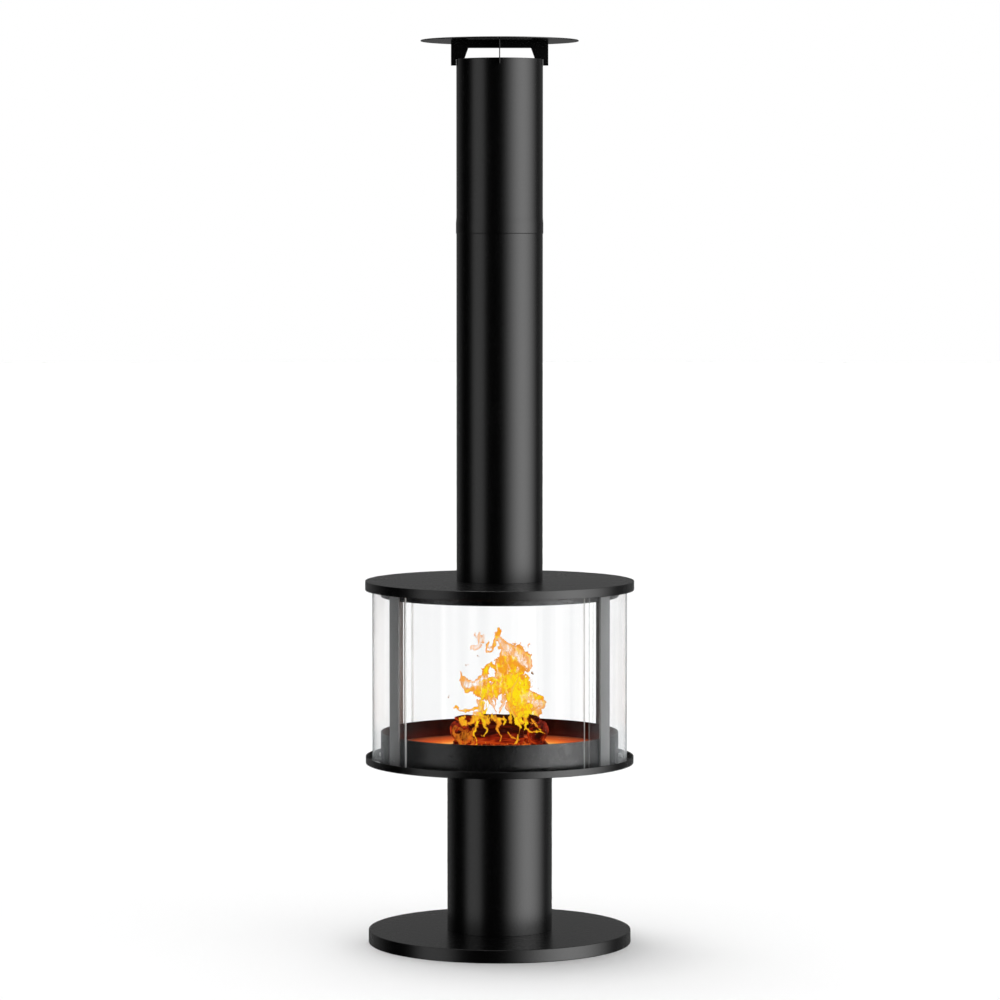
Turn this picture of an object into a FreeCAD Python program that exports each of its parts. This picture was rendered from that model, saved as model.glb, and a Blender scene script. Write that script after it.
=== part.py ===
"""Free-standing outdoor fireplace with a round glass fire chamber.

A weighted disc foot carries a tube, the tube carries a round tray, and the tray carries
a steel fire bowl inside a ring of four curved panes. Four flat bars rise from the bowl
to a disc hood, and a two-length flue with a flat rain cap stands on the hood.

The origin is on the ground under the flue's axis, +Z up, and the front faces -Y.
Angles are counted from the front towards +X.
"""

import FreeCAD, Part
import math
import os

import Sketcher

DOC = FreeCAD.newDocument("outdoor_fireplace")
UP = FreeCAD.Vector(0, 0, 1)
CENTRE = FreeCAD.Vector(0, 0, 0)
FULL_TURN = 360
HALF_TURN = 180
QUARTER_TURN = 90
FRONT = -90

SIZES = {
    # foot
    "base_radius": 382.4,
    "base_height": 38,
    "base_sheet": 5,
    "anchor_circle": 280,
    "anchor_radius": 5.5,
    "anchor_depth": 20,
    # pedestal
    "pedestal_radius": 152.6,
    "pedestal_wall": 3,
    "pedestal_height": 487.8,
    "flange_thickness": 10,
    "flange_width": 54,
    # tray
    "tray_margin": 19.5,
    "tray_floor": 4,
    "tray_rim_height": 20.2,
    "tray_rim_wall": 3,
    # bowl, bars and collar share one radius
    "bowl_radius": 346,
    "bowl_wall_thickness": 4,
    "bowl_height": 86.8,
    "bar_width": 52,
    "bar_thickness": 6,
    "bar_length": 524.6,
    "bar_screw_rise": 9,
    "bar_screw_pitch": 13,
    "collar_height": 42.6,
    # fire plate, grate and ash pan
    "plate_height": 38.4,
    "plate_thickness": 4,
    "plate_ring_width": 20,
    "plate_hole_radius": 160,
    "grate_ring_width": 24,
    "grate_seat_width": 12,
    "grate_thickness": 6,
    "grate_play": 1,
    "slot_length": 180,
    "slot_width": 9,
    "slot_pitch": 24,
    "pan_play": 2,
    "pan_height": 27,
    "pan_wall": 1.5,
    "grip_length": 60,
    "grip_height": 22,
    "grip_bar": 5,
    "grip_thickness": 3,
    "grip_inset": 14,
    # fuel
    "ember_foot_radius": 146,
    "ember_top_radius": 132,
    "ember_height": 12,
    "log_radius": 30,
    "top_log_radius": 25,
    "branch_radius": 13,
    # glass
    "glass_stand_off": 14.5,
    "glass_thickness": 4,
    "glass_foot": 3.2,
    "glass_head_room": 16.4,
    "shoe_height": 10,
    "shoe_wall": 1.5,
    "guide_gap": 2,
    "guide_wall": 2,
    "guide_grip": 6,
    # hood
    "hood_margin": 20.4,
    "hood_sheet": 3,
    "hood_skirt": 27,
    # flue
    "flue_radius": 125,
    "flue_wall": 1.2,
    "spigot_wall": 3,
    "spigot_height": 48,
    "spigot_flange_width": 26,
    "lower_pipe_length": 1005.6,
    "upper_pipe_length": 502,
    "socket_depth": 42,
    "socket_length": 48,
    "socket_shoulder": 4,
    "socket_play": 0.1,
    # rain cap
    "cap_overhang": 103,
    "cap_sheet": 3,
    "cap_rise": 51.7,
    "brace_overhang": 15.4,
    "brace_sheet": 3,
    "brace_leg_drop": 18.2,
    "brace_strip": 19.5,
    "window_inset": 34.6,
    "leg_foot_width": 15,
    # fasteners: large machine screws, small machine screws and sheet screws
    "bolt_radius": 5,
    "bolt_head_radius": 8,
    "bolt_head_height": 10,
    "bolt_recess": 12,
    "bolt_socket_radius": 4,
    "bolt_socket_depth": 5,
    "screw_radius": 3,
    "screw_head_radius": 6,
    "screw_head_height": 3,
    "button_radius": 5.25,
    "button_height": 3,
    "sheet_screw_radius": 2,
    "sheet_screw_head": 3.5,
    "sheet_screw_head_height": 2,
    "pipe_screw_length": 5,
    # clearances, edges and overruns
    "fit_gap": 0.1,
    "run_gap": 0.3,
    "bolt_play": 0.5,
    "tip_inset": 1,
    "edge_round": 1,
    "overrun": 10,
}

BAR_ANGLE = 59.5
PANE_SWEEP_ANGLE = 87.6
FRONT_PANE_ANGLE = -2.8
RIGHT_PANE_ANGLE = 87.45
REAR_PANE_ANGLE = 180.8
LEFT_PANE_ANGLE = -91.0
SHOE_SWEEP_ANGLE = 4.4
SHOE_SPREAD_ANGLE = 36
COUNTERSINK_ANGLE = 90
BASE_BOLTS = 6
TRAY_SCREWS = 8
ANCHORS = 4
SLOTS = 9
PIPE_SCREW_ANGLES = (120, 180, 240)

# Length, x and y of each log and branch, as shares of the grate's radius.
FUEL_SHARES = {
    "log_front": (0.91, -0.01, -0.29),
    "log_back": (0.87, -0.01, 0.29),
    "log_left": (0.97, -0.71, 0.13),
    "log_right": (0.98, 0.70, 0.11),
    "log_top": (0.60, -0.01, 0),
    "branch_right": (0.86, 0.46, 0.06),
    "branch_left": (0.70, -0.53, -0.22),
}
# The way each one points, from +X towards +Y.
FUEL_ANGLES = {
    "log_front": 1.5,
    "log_back": 1.5,
    "log_left": 96,
    "log_right": 86,
    "log_top": 1.5,
    "branch_right": 122,
    "branch_left": 148,
}


class Size:
    """A length that keeps its number together with the formula that it came from."""

    def __init__(self, value, text):
        self.value = value
        self.text = text

    def __add__(self, other):
        other = as_size(other)
        return Size(self.value + other.value, f"({self.text} + {other.text})")

    def __sub__(self, other):
        other = as_size(other)
        return Size(self.value - other.value, f"({self.text} - {other.text})")

    def __mul__(self, factor):
        return Size(self.value * factor, f"({self.text} * {factor})")

    def __truediv__(self, factor):
        return Size(self.value / factor, f"({self.text} / {factor})")

    def __neg__(self):
        return Size(-self.value, f"(-{self.text})")


def as_size(number):
    """Takes a Size as it is, and zero as a Size without a formula."""
    return number if isinstance(number, Size) else Size(number, str(number))


def write_sheet():
    """Puts every driving size into the sheet and returns them by name."""
    sheet = DOC.addObject("Spreadsheet::Sheet", "Sizes")
    named = {}
    for row, (name, value) in enumerate(SIZES.items(), start=1):
        sheet.set(f"A{row}", name)
        sheet.set(f"B{row}", str(value))
        sheet.setAlias(f"B{row}", name)
        named[name] = Size(value, f"Sizes.{name}")
    DOC.recompute()
    return type("Named", (), named)


S = write_sheet()
ZERO = Size(0, "0")

# Heights and radii that more than one piece uses.
PEDESTAL_TOP = S.base_height + S.pedestal_height
TRAY_TOP = PEDESTAL_TOP + S.tray_floor
BOWL_INNER = S.bowl_radius - S.bowl_wall_thickness
PLATE_TOP = TRAY_TOP + S.plate_height
PLATE_FOOT = PLATE_TOP - S.plate_thickness
GRATE_FOOT = PLATE_FOOT + S.run_gap
GRATE_TOP = GRATE_FOOT + S.grate_thickness
GRATE_RADIUS = S.plate_hole_radius - S.grate_play
GRATE_RING_INNER = S.plate_hole_radius - S.grate_seat_width
PAN_RADIUS = GRATE_RING_INNER - S.pan_play
PAN_FOOT = TRAY_TOP + S.run_gap
EMBER_TOP = GRATE_TOP + S.ember_height
HOOD_UNDERSIDE = TRAY_TOP + S.bar_length
HOOD_TOP = HOOD_UNDERSIDE + S.hood_sheet
GLASS_INNER = S.bowl_radius + S.bar_thickness + S.glass_stand_off
GLASS_OUTER = GLASS_INNER + S.glass_thickness
TRAY_RADIUS = GLASS_OUTER + S.tray_margin
HOOD_RADIUS = GLASS_OUTER + S.hood_margin
GLASS_FOOT = TRAY_TOP + S.glass_foot
GLASS_HEIGHT = HOOD_UNDERSIDE - S.glass_head_room - GLASS_FOOT
FLUE_INNER = S.flue_radius - S.flue_wall
SPIGOT_OUTER = FLUE_INNER - S.fit_gap
SPIGOT_INNER = SPIGOT_OUTER - S.spigot_wall
PIPE_JOINT = HOOD_TOP + S.lower_pipe_length
FLUE_TOP = PIPE_JOINT + S.upper_pipe_length
SOCKET_INNER = S.flue_radius + S.socket_play
SOCKET_OUTER = SOCKET_INNER + S.flue_wall
CAP_FOOT = FLUE_TOP + S.cap_rise
CAP_RADIUS = S.flue_radius + S.cap_overhang
BRACE_HALF_WIDTH = S.flue_radius + S.brace_overhang
WINDOW_HALF_TOP = S.flue_radius - S.window_inset
TUBE_INNER = S.pedestal_radius - S.pedestal_wall
FLANGE_OUTER = TUBE_INNER - S.fit_gap
FLANGE_INNER = FLANGE_OUTER - S.flange_width
FLANGE_CIRCLE = FLANGE_OUTER - S.flange_width / 2


def new_body(name):
    """An empty body whose label names the piece and its file."""
    body = DOC.addObject("PartDesign::Body", name)
    body.Label = name
    return body


def origin_plane(body, role):
    """One of the body's own origin planes or axes."""
    return next(item for item in body.Origin.OriginFeatures if item.Role == role)


def new_sketch(body, name, role, offset=ZERO):
    """A sketch on an origin plane, moved along that plane's normal by the offset."""
    sketch = body.newObject("Sketcher::SketchObject", f"{body.Name}_{name}")
    sketch.AttachmentSupport = (origin_plane(body, role), [""])
    sketch.MapMode = "FlatFace"
    sketch.AttachmentOffset = FreeCAD.Placement(FreeCAD.Vector(0, 0, offset.value), FreeCAD.Rotation())
    sketch.setExpression("AttachmentOffset.Base.z", offset.text)
    return sketch


def fix_distance(sketch, kind, geometry, vertex, size):
    """Holds one coordinate of a vertex by a formula; on an axis it is pinned to that axis."""
    if size.value == 0:
        axis = -2 if kind == "DistanceX" else -1
        sketch.addConstraint(Sketcher.Constraint("PointOnObject", geometry, vertex, axis))
        return
    ends = (-1, 1, geometry, vertex) if size.value > 0 else (geometry, vertex, -1, 1)
    size = size if size.value > 0 else -size
    number = sketch.addConstraint(Sketcher.Constraint(kind, *ends, size.value))
    sketch.setExpression(f"Constraints[{number}]", size.text)


def draw_outline(sketch, points):
    """A closed outline of straight edges through points given as pairs of sizes."""
    corners = [FreeCAD.Vector(x.value, y.value, 0) for x, y in points]
    first = sketch.GeometryCount
    count = len(corners)
    for i, corner in enumerate(corners):
        sketch.addGeometry(Part.LineSegment(corner, corners[(i + 1) % count]), False)
    for i in range(count):
        sketch.addConstraint(
            Sketcher.Constraint("Coincident", first + i, 2, first + (i + 1) % count, 1))
    for i, (x, y) in enumerate(points):
        fix_distance(sketch, "DistanceX", first + i, 1, x)
        fix_distance(sketch, "DistanceY", first + i, 1, y)


def draw_circle(sketch, x, y, radius):
    """A circle whose centre and radius follow their formulas."""
    circle = Part.Circle(FreeCAD.Vector(x.value, y.value, 0), UP, radius.value)
    number = sketch.addGeometry(circle, False)
    fix_distance(sketch, "DistanceX", number, 3, x)
    fix_distance(sketch, "DistanceY", number, 3, y)
    radius_rule = sketch.addConstraint(Sketcher.Constraint("Radius", number, radius.value))
    sketch.setExpression(f"Constraints[{radius_rule}]", radius.text)


def rectangle(left, right, low, high):
    """The four corners of an upright rectangle."""
    return [(left, low), (right, low), (right, high), (left, high)]


def turn_outline(body, points, angle=FULL_TURN, axis_at=None):
    """Turns an outline drawn in the XZ plane about Z, or about an upright line of its own."""
    sketch = new_sketch(body, "outline", "XZ_Plane")
    draw_outline(sketch, points)
    axis = "V_Axis"
    if axis_at is not None:
        foot = FreeCAD.Vector(axis_at.value, 0, 0)
        head = FreeCAD.Vector(axis_at.value, S.overrun.value, 0)
        line = sketch.addGeometry(Part.LineSegment(foot, head), True)
        fix_distance(sketch, "DistanceX", line, 1, axis_at)
        fix_distance(sketch, "DistanceX", line, 2, axis_at)
        fix_distance(sketch, "DistanceY", line, 1, ZERO)
        axis = "Axis0"
    turn = body.newObject("PartDesign::Revolution", f"{body.Name}_turn")
    turn.Profile = sketch
    turn.ReferenceAxis = (sketch, [axis])
    turn.Angle = angle
    return turn


def repeat_round(body, feature, count, angle=FULL_TURN):
    """Repeats a feature about Z."""
    pattern = body.newObject("PartDesign::PolarPattern", f"{feature.Name}_round")
    pattern.Originals = [feature]
    pattern.Axis = (origin_plane(body, "Z_Axis"), [""])
    pattern.Angle = angle
    pattern.Occurrences = count
    body.Tip = pattern


def drill_round(body, name, radius, circle, count, from_height):
    """Drills a circle of holes straight down from a height."""
    sketch = new_sketch(body, name, "XY_Plane", from_height)
    draw_circle(sketch, circle, ZERO, radius)
    hole = body.newObject("PartDesign::Pocket", f"{body.Name}_{name}_hole")
    hole.Profile = sketch
    hole.Type = "ThroughAll"
    repeat_round(body, hole, count)


def sink_round(body, name, radius, head_radius, circle, count, from_height):
    """Drills a circle of countersunk holes straight down from a height."""
    sketch = new_sketch(body, name, "XY_Plane", from_height)
    draw_circle(sketch, circle, ZERO, radius)
    DOC.recompute()
    hole = body.newObject("PartDesign::Hole", f"{body.Name}_{name}_hole")
    hole.Profile = sketch
    hole.DepthType = "ThroughAll"
    hole.HoleCutType = "Countersink"
    hole.HoleCutCustomValues = True
    hole.setExpression("Diameter", (radius * 2).text)
    hole.setExpression("HoleCutDiameter", (head_radius * 2).text)
    hole.HoleCutCountersinkAngle = COUNTERSINK_ANGLE
    repeat_round(body, hole, count)


def round_edges(body, radius, wanted):
    """Rounds the full-circle edges of the body that lie at the wanted (radius, height) pairs."""
    DOC.recompute()
    base = body.Tip
    names = []
    for number, edge in enumerate(base.Shape.Edges, start=1):
        if not isinstance(edge.Curve, Part.Circle):
            continue
        centre = edge.Curve.Center
        for ring, height in wanted:
            on_axis = math.hypot(centre.x, centre.y) < S.fit_gap.value
            same_ring = abs(edge.Curve.Radius - ring.value) < S.fit_gap.value
            if on_axis and same_ring and abs(centre.z - height.value) < S.fit_gap.value:
                names.append(f"Edge{number}")
    if len(names) != len(wanted):
        raise ValueError(f"{body.Label}: {len(names)} edges found to round, {len(wanted)} wanted")
    fillet = body.newObject("PartDesign::Fillet", f"{body.Name}_edges")
    fillet.Base = (base, names)
    fillet.setExpression("Radius", radius.text)


def pad_outline(body, name, role, outlines, thickness, offset=ZERO, holes=()):
    """Pads closed outlines, less round holes, off an origin plane along its normal."""
    sketch = new_sketch(body, name, role, offset)
    for points in outlines:
        draw_outline(sketch, points)
    for x, y, radius in holes:
        draw_circle(sketch, x, y, radius)
    pad = body.newObject("PartDesign::Pad", f"{body.Name}_{name}_pad")
    pad.Profile = sketch
    pad.Length = thickness.value
    pad.setExpression("Length", thickness.text)
    return pad


def place(piece, x=ZERO, y=ZERO, z=ZERO, rotation=FreeCAD.Rotation()):
    """Sets a piece down at a point that follows its formulas."""
    piece.Placement = FreeCAD.Placement(FreeCAD.Vector(x.value, y.value, z.value), rotation)
    piece.setExpression("Placement.Base.x", x.text)
    piece.setExpression("Placement.Base.y", y.text)
    piece.setExpression("Placement.Base.z", z.text)


def face_towards(angle):
    """Turns a piece that was drawn at the front round to an angle from the front."""
    return FreeCAD.Rotation(UP, angle)


def polar(radius, angle):
    """The point at a radius and an angle from the front."""
    turn = angle + FRONT
    east = Size(radius.value * math.cos(math.radians(turn)), f"({radius.text} * cos({turn}))")
    north = Size(radius.value * math.sin(math.radians(turn)), f"({radius.text} * sin({turn}))")
    return east, north


def ring(name, inner, outer, low, high):
    """A plain turned ring."""
    body = new_body(name)
    turn_outline(body, rectangle(inner, outer, low, high))
    return body


def cylinder(name, radius, length):
    """A round bar along its own Z."""
    bar = DOC.addObject("Part::Cylinder", name)
    bar.setExpression("Radius", radius.text)
    bar.setExpression("Height", length.text)
    return bar


def compound(name, members):
    """Separate solids kept as one group."""
    group = DOC.addObject("Part::Compound", name)
    group.Links = members
    group.Label = name
    return group


def cut(name, base, tool):
    """A piece with a tool taken out of it."""
    result = DOC.addObject("Part::Cut", name)
    result.Base = base
    result.Tool = tool
    result.Label = name
    return result


def bolts(name, points, circle, count):
    """Like upright bolts on a circle; each point is a radius from the bolt's axis and a height."""
    body = new_body(name)
    body.AllowCompound = True
    turn = turn_outline(body, [(circle + r, z) for r, z in points], axis_at=circle)
    repeat_round(body, turn, count)
    return body


def radial_rods(name, radius, start, length, spots):
    """Round rods pointing away from the axis, one at each (angle, height)."""
    rods = []
    for number, (angle, height) in enumerate(spots, start=1):
        rod = cylinder(f"{name}_{number}", radius, length)
        east, north = polar(start, angle)
        outward = FreeCAD.Vector(*(size.value for size in polar(S.overrun, angle)), 0)
        place(rod, east, north, height, FreeCAD.Rotation(UP, outward))
        rods.append(rod)
    return rods


def radial_screws(name, spots, head, head_height, head_start, shank, shank_start, shank_length):
    """Screws pointing at the axis or away from it: a head and a shank for each spot."""
    heads = radial_rods(f"{name}_head", head, head_start, head_height, spots)
    shanks = radial_rods(f"{name}_shank", shank, shank_start, shank_length, spots)
    screws = []
    for number, (head_rod, shank_rod) in enumerate(zip(heads, shanks), start=1):
        screw = DOC.addObject("Part::Fuse", f"{name}_{number}")
        screw.Base = head_rod
        screw.Tool = shank_rod
        screws.append(screw)
    return screws


def make_foot():
    """The foot: a sheet cover over a heavy disc, bolted up into the pedestal's lower flange."""
    sheet_foot = S.base_height - S.base_sheet
    skirt_inner = S.base_radius - S.base_sheet
    cover = new_body("base_cover")
    turn_outline(cover, [
        (skirt_inner, ZERO), (S.base_radius, ZERO), (S.base_radius, S.base_height),
        (ZERO, S.base_height), (ZERO, sheet_foot), (skirt_inner, sheet_foot)])
    drill_round(cover, "bolt", S.bolt_radius + S.bolt_play, FLANGE_CIRCLE, BASE_BOLTS, S.base_height)
    round_edges(cover, S.edge_round, [(S.base_radius, S.base_height)])

    disc = new_body("ballast_disc")
    turn_outline(disc, rectangle(ZERO, skirt_inner - S.bolt_play, ZERO, sheet_foot))
    drill_round(disc, "bolt", S.bolt_radius + S.bolt_play, FLANGE_CIRCLE, BASE_BOLTS, sheet_foot)
    drill_round(disc, "recess", S.bolt_head_radius + S.bolt_play, FLANGE_CIRCLE, BASE_BOLTS, S.bolt_recess)
    drill_round(disc, "anchor", S.anchor_radius, S.anchor_circle, ANCHORS, S.anchor_depth)

    head_foot = S.bolt_recess - S.bolt_head_height
    socket_top = head_foot + S.bolt_socket_depth
    tip = S.base_height + S.flange_thickness - S.tip_inset
    base_bolts = bolts("base_bolts", [
        (S.bolt_socket_radius, head_foot), (S.bolt_head_radius, head_foot),
        (S.bolt_head_radius, S.bolt_recess), (S.bolt_radius, S.bolt_recess),
        (S.bolt_radius, tip), (ZERO, tip), (ZERO, socket_top),
        (S.bolt_socket_radius, socket_top)], FLANGE_CIRCLE, BASE_BOLTS)
    return [cover, disc, base_bolts]


def make_flange(name, low, hole_radius, count):
    """A ring welded inside the pedestal tube and tapped for a circle of bolts."""
    body = new_body(name)
    high = low + S.flange_thickness
    turn_outline(body, rectangle(FLANGE_INNER, FLANGE_OUTER, low, high))
    drill_round(body, "tapped", hole_radius + S.fit_gap, FLANGE_CIRCLE, count, high)
    return body


def make_pedestal():
    """The tube between foot and tray, with a welded flange inside each end."""
    tube = ring("pedestal_tube", TUBE_INNER, S.pedestal_radius, S.base_height, PEDESTAL_TOP)
    foot = make_flange("pedestal_foot_flange", S.base_height, S.bolt_radius, BASE_BOLTS)
    head_low = PEDESTAL_TOP - S.flange_thickness
    head = make_flange("pedestal_head_flange", head_low, S.screw_radius, TRAY_SCREWS)
    return [tube, foot, head]


def make_tray():
    """The round tray that carries the bowl and the glass, screwed down onto the pedestal."""
    rim_inner = TRAY_RADIUS - S.tray_rim_wall
    rim_top = PEDESTAL_TOP + S.tray_rim_height
    tray = new_body("tray")
    turn_outline(tray, [
        (ZERO, PEDESTAL_TOP), (TRAY_RADIUS, PEDESTAL_TOP), (TRAY_RADIUS, rim_top),
        (rim_inner, rim_top), (rim_inner, TRAY_TOP), (ZERO, TRAY_TOP)])
    sink_round(tray, "screw", S.screw_radius + S.run_gap, S.screw_head_radius + S.run_gap,
               FLANGE_CIRCLE, TRAY_SCREWS, TRAY_TOP)
    round_edges(tray, S.edge_round, [(TRAY_RADIUS, PEDESTAL_TOP), (TRAY_RADIUS, rim_top)])

    head_foot = TRAY_TOP - S.screw_head_height
    tip = PEDESTAL_TOP - S.flange_thickness - S.tip_inset
    screws = bolts("tray_screws", [
        (ZERO, tip), (S.screw_radius, tip), (S.screw_radius, head_foot),
        (S.screw_head_radius, TRAY_TOP), (ZERO, TRAY_TOP)], FLANGE_CIRCLE, TRAY_SCREWS)
    return [tray, screws]


def bar_screw_heights():
    """Heights of the two screws at each end of a bar, lower end first."""
    low = TRAY_TOP + S.bar_screw_rise
    high = HOOD_UNDERSIDE - S.bar_screw_rise
    return [low, low + S.bar_screw_pitch], [high - S.bar_screw_pitch, high]


def bar_angles():
    """The four bars stand in mirrored pairs either side of the front and the back."""
    return [BAR_ANGLE, HALF_TURN - BAR_ANGLE, HALF_TURN + BAR_ANGLE, FULL_TURN - BAR_ANGLE]


def make_drilled_ring(name, low, high, heights):
    """A ring of the bowl's radius with holes through its wall for the bars' screws."""
    blank = ring(f"{name}_blank", BOWL_INNER, S.bowl_radius, low, high)
    spots = [(angle, height) for angle in bar_angles() for height in heights]
    drill = radial_rods(f"{name}_drill", S.screw_radius + S.run_gap, BOWL_INNER - S.overrun,
                        S.bowl_wall_thickness + S.overrun * 2, spots)
    return cut(name, blank, compound(f"{name}_drills", drill))


def make_frame():
    """Bowl wall and collar, the four bars that join them, and the screws from inside."""
    low_heights, high_heights = bar_screw_heights()
    bowl = make_drilled_ring("bowl_wall", TRAY_TOP, TRAY_TOP + S.bowl_height, low_heights)
    collar = make_drilled_ring("hood_collar", HOOD_UNDERSIDE - S.collar_height, HOOD_UNDERSIDE, high_heights)

    tapped = S.screw_radius + S.fit_gap
    half = S.bar_width / 2
    holes = [(ZERO, height, tapped) for height in low_heights + high_heights]
    bars = []
    names = ("post_front_right", "post_rear_right", "post_rear_left", "post_front_left")
    for name, angle in zip(names, bar_angles()):
        bar = new_body(name)
        pad_outline(bar, "face", "XZ_Plane", [rectangle(-half, half, TRAY_TOP, HOOD_UNDERSIDE)],
                    S.bar_thickness, S.bowl_radius, holes)
        bar.Placement = FreeCAD.Placement(CENTRE, face_towards(angle))
        bars.append(bar)

    screws = []
    for name, heights in (("bowl_screws", low_heights), ("collar_screws", high_heights)):
        spots = [(angle, height) for angle in bar_angles() for height in heights]
        shank = S.bowl_wall_thickness + S.bar_thickness - S.tip_inset
        screws.append(compound(name, radial_screws(
            name, spots, S.button_radius, S.button_height, BOWL_INNER - S.button_height - S.fit_gap,
            S.screw_radius, BOWL_INNER - S.fit_gap, shank)))
    return [bowl, collar] + bars + screws


def make_hearth():
    """The fire plate on its welded ring, the ring that seats the grate, grate and ash pan."""
    plate_outer = BOWL_INNER - S.run_gap
    ring_outer = BOWL_INNER - S.fit_gap
    ring_foot = PLATE_FOOT - S.plate_thickness
    plate_ring = ring("plate_ring", ring_outer - S.plate_ring_width, ring_outer, ring_foot, PLATE_FOOT)
    plate = ring("fire_plate", S.plate_hole_radius, plate_outer, PLATE_FOOT, PLATE_TOP)
    grate_ring = ring("grate_ring", GRATE_RING_INNER, GRATE_RING_INNER + S.grate_ring_width,
                      ring_foot, PLATE_FOOT)

    grate = new_body("fire_grate")
    pad_outline(grate, "disc", "XY_Plane", [], S.grate_thickness, GRATE_FOOT, [(ZERO, ZERO, GRATE_RADIUS)])
    span = S.slot_pitch * (SLOTS - 1)
    sketch = new_sketch(grate, "slot", "XY_Plane", GRATE_TOP)
    draw_outline(sketch, rectangle(-S.slot_length / 2, S.slot_length / 2,
                                   -(span + S.slot_width) / 2, -(span - S.slot_width) / 2))
    slot = grate.newObject("PartDesign::Pocket", "fire_grate_slot_hole")
    slot.Profile = sketch
    slot.Type = "ThroughAll"
    row = grate.newObject("PartDesign::LinearPattern", "fire_grate_slots")
    row.Originals = [slot]
    row.Direction = (origin_plane(grate, "Y_Axis"), [""])
    row.setExpression("Length", span.text)
    row.Occurrences = SLOTS
    grate.Tip = row
    round_edges(grate, S.edge_round, [(GRATE_RADIUS, GRATE_TOP)])

    pan = new_body("ash_pan")
    pan_inner = PAN_RADIUS - S.pan_wall
    pan_floor = PAN_FOOT + S.pan_wall
    turn_outline(pan, [
        (ZERO, PAN_FOOT), (PAN_RADIUS, PAN_FOOT), (PAN_RADIUS, PAN_FOOT + S.pan_height),
        (pan_inner, PAN_FOOT + S.pan_height), (pan_inner, pan_floor), (ZERO, pan_floor)])

    grips = new_body("ash_pan_grips")
    grips.AllowCompound = True
    grip_half = S.grip_length / 2
    grip_top = pan_floor + S.grip_height
    bar_inner = grip_half - S.grip_bar
    pad = pad_outline(grips, "bow", "YZ_Plane", [[
        (-grip_half, pan_floor), (-grip_half, grip_top), (grip_half, grip_top), (grip_half, pan_floor),
        (bar_inner, pan_floor), (bar_inner, grip_top - S.grip_bar),
        (-bar_inner, grip_top - S.grip_bar), (-bar_inner, pan_floor)]],
        S.grip_thickness, PAN_RADIUS - S.grip_inset - S.grip_thickness)
    repeat_round(grips, pad, 2)
    return [plate_ring, plate, grate_ring, grate, pan, grips]


def make_log(name, radius, height):
    """A round log lying level at a height, at its place and turn in the fuel's tables."""
    length, x, y = (GRATE_RADIUS * share for share in FUEL_SHARES[name])
    log = cylinder(name, radius, length)
    lie = FreeCAD.Rotation(FUEL_ANGLES[name], QUARTER_TURN, 0)
    axis = lie.multVec(UP)
    half = length / 2
    place(log, x - half * axis.x, y - half * axis.y, height, lie)
    log.Label = name
    return log


def make_fuel():
    """The ember bed on the grate and the stack of logs, each resting on what lies below it."""
    embers = DOC.addObject("Part::Cone", "ember_bed")
    embers.setExpression("Radius1", S.ember_foot_radius.text)
    embers.setExpression("Radius2", S.ember_top_radius.text)
    embers.setExpression("Height", S.ember_height.text)
    place(embers, z=GRATE_TOP)
    embers.Label = "ember_bed"

    low = EMBER_TOP + S.log_radius + S.fit_gap
    logs = [make_log(name, S.log_radius, low) for name in ("log_front", "log_back", "log_left", "log_right")]

    reach = S.log_radius.value + S.top_log_radius.value + S.fit_gap.value
    spread = GRATE_RADIUS.value * FUEL_SHARES["log_back"][2]
    rise = math.sqrt(reach ** 2 - spread ** 2) / S.log_radius.value
    logs.append(make_log("log_top", S.top_log_radius, low + S.log_radius * rise + S.fit_gap))

    crossing = low + S.log_radius + S.branch_radius + S.fit_gap
    logs += [make_log(name, S.branch_radius, crossing) for name in ("branch_right", "branch_left")]
    return [embers] + logs


def make_pane(name, angle):
    """One curved pane, cut from a glass tube, centred on its angle."""
    start = angle + FRONT - PANE_SWEEP_ANGLE / 2
    outer = cylinder(f"{name}_outer", GLASS_OUTER, GLASS_HEIGHT)
    inner = cylinder(f"{name}_inner", GLASS_INNER, GLASS_HEIGHT)
    for part in (outer, inner):
        part.Angle = PANE_SWEEP_ANGLE
    pane = cut(name, outer, inner)
    place(pane, z=GLASS_FOOT, rotation=FreeCAD.Rotation(UP, start))
    return pane


def make_shoes(name, angle):
    """The two low steel shoes that hold a pane's lower edge and slide round in the tray."""
    low = TRAY_TOP + S.run_gap
    high = low + S.shoe_height
    groove_floor = GLASS_FOOT - S.run_gap
    groove_inner = GLASS_INNER - S.run_gap
    groove_outer = GLASS_OUTER + S.run_gap
    shoes = new_body(name)
    shoes.AllowCompound = True
    turn = turn_outline(shoes, [
        (groove_inner - S.shoe_wall, low), (groove_outer + S.shoe_wall, low),
        (groove_outer + S.shoe_wall, high), (groove_outer, high), (groove_outer, groove_floor),
        (groove_inner, groove_floor), (groove_inner, high), (groove_inner - S.shoe_wall, high)],
        SHOE_SWEEP_ANGLE)
    repeat_round(shoes, turn, 2, SHOE_SPREAD_ANGLE)
    start = angle + FRONT - (SHOE_SPREAD_ANGLE + SHOE_SWEEP_ANGLE) / 2
    shoes.Placement = FreeCAD.Placement(CENTRE, FreeCAD.Rotation(UP, start))
    return shoes


def make_glazing():
    """Four panes in their shoes, and two welded rings under the hood that guide their tops."""
    pieces = []
    angles = {"front": FRONT_PANE_ANGLE, "right": RIGHT_PANE_ANGLE,
              "rear": REAR_PANE_ANGLE, "left": LEFT_PANE_ANGLE}
    for side, angle in angles.items():
        pieces.append(make_shoes(f"glass_shoes_{side}", angle))
        pieces.append(make_pane(f"glass_{side}", angle))
    low = GLASS_FOOT + GLASS_HEIGHT - S.guide_grip
    inner = GLASS_INNER - S.guide_gap
    outer = GLASS_OUTER + S.guide_gap
    pieces.append(ring("glass_guide_inner", inner - S.guide_wall, inner, low, HOOD_UNDERSIDE))
    pieces.append(ring("glass_guide_outer", outer, outer + S.guide_wall, low, HOOD_UNDERSIDE))
    return pieces


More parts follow.
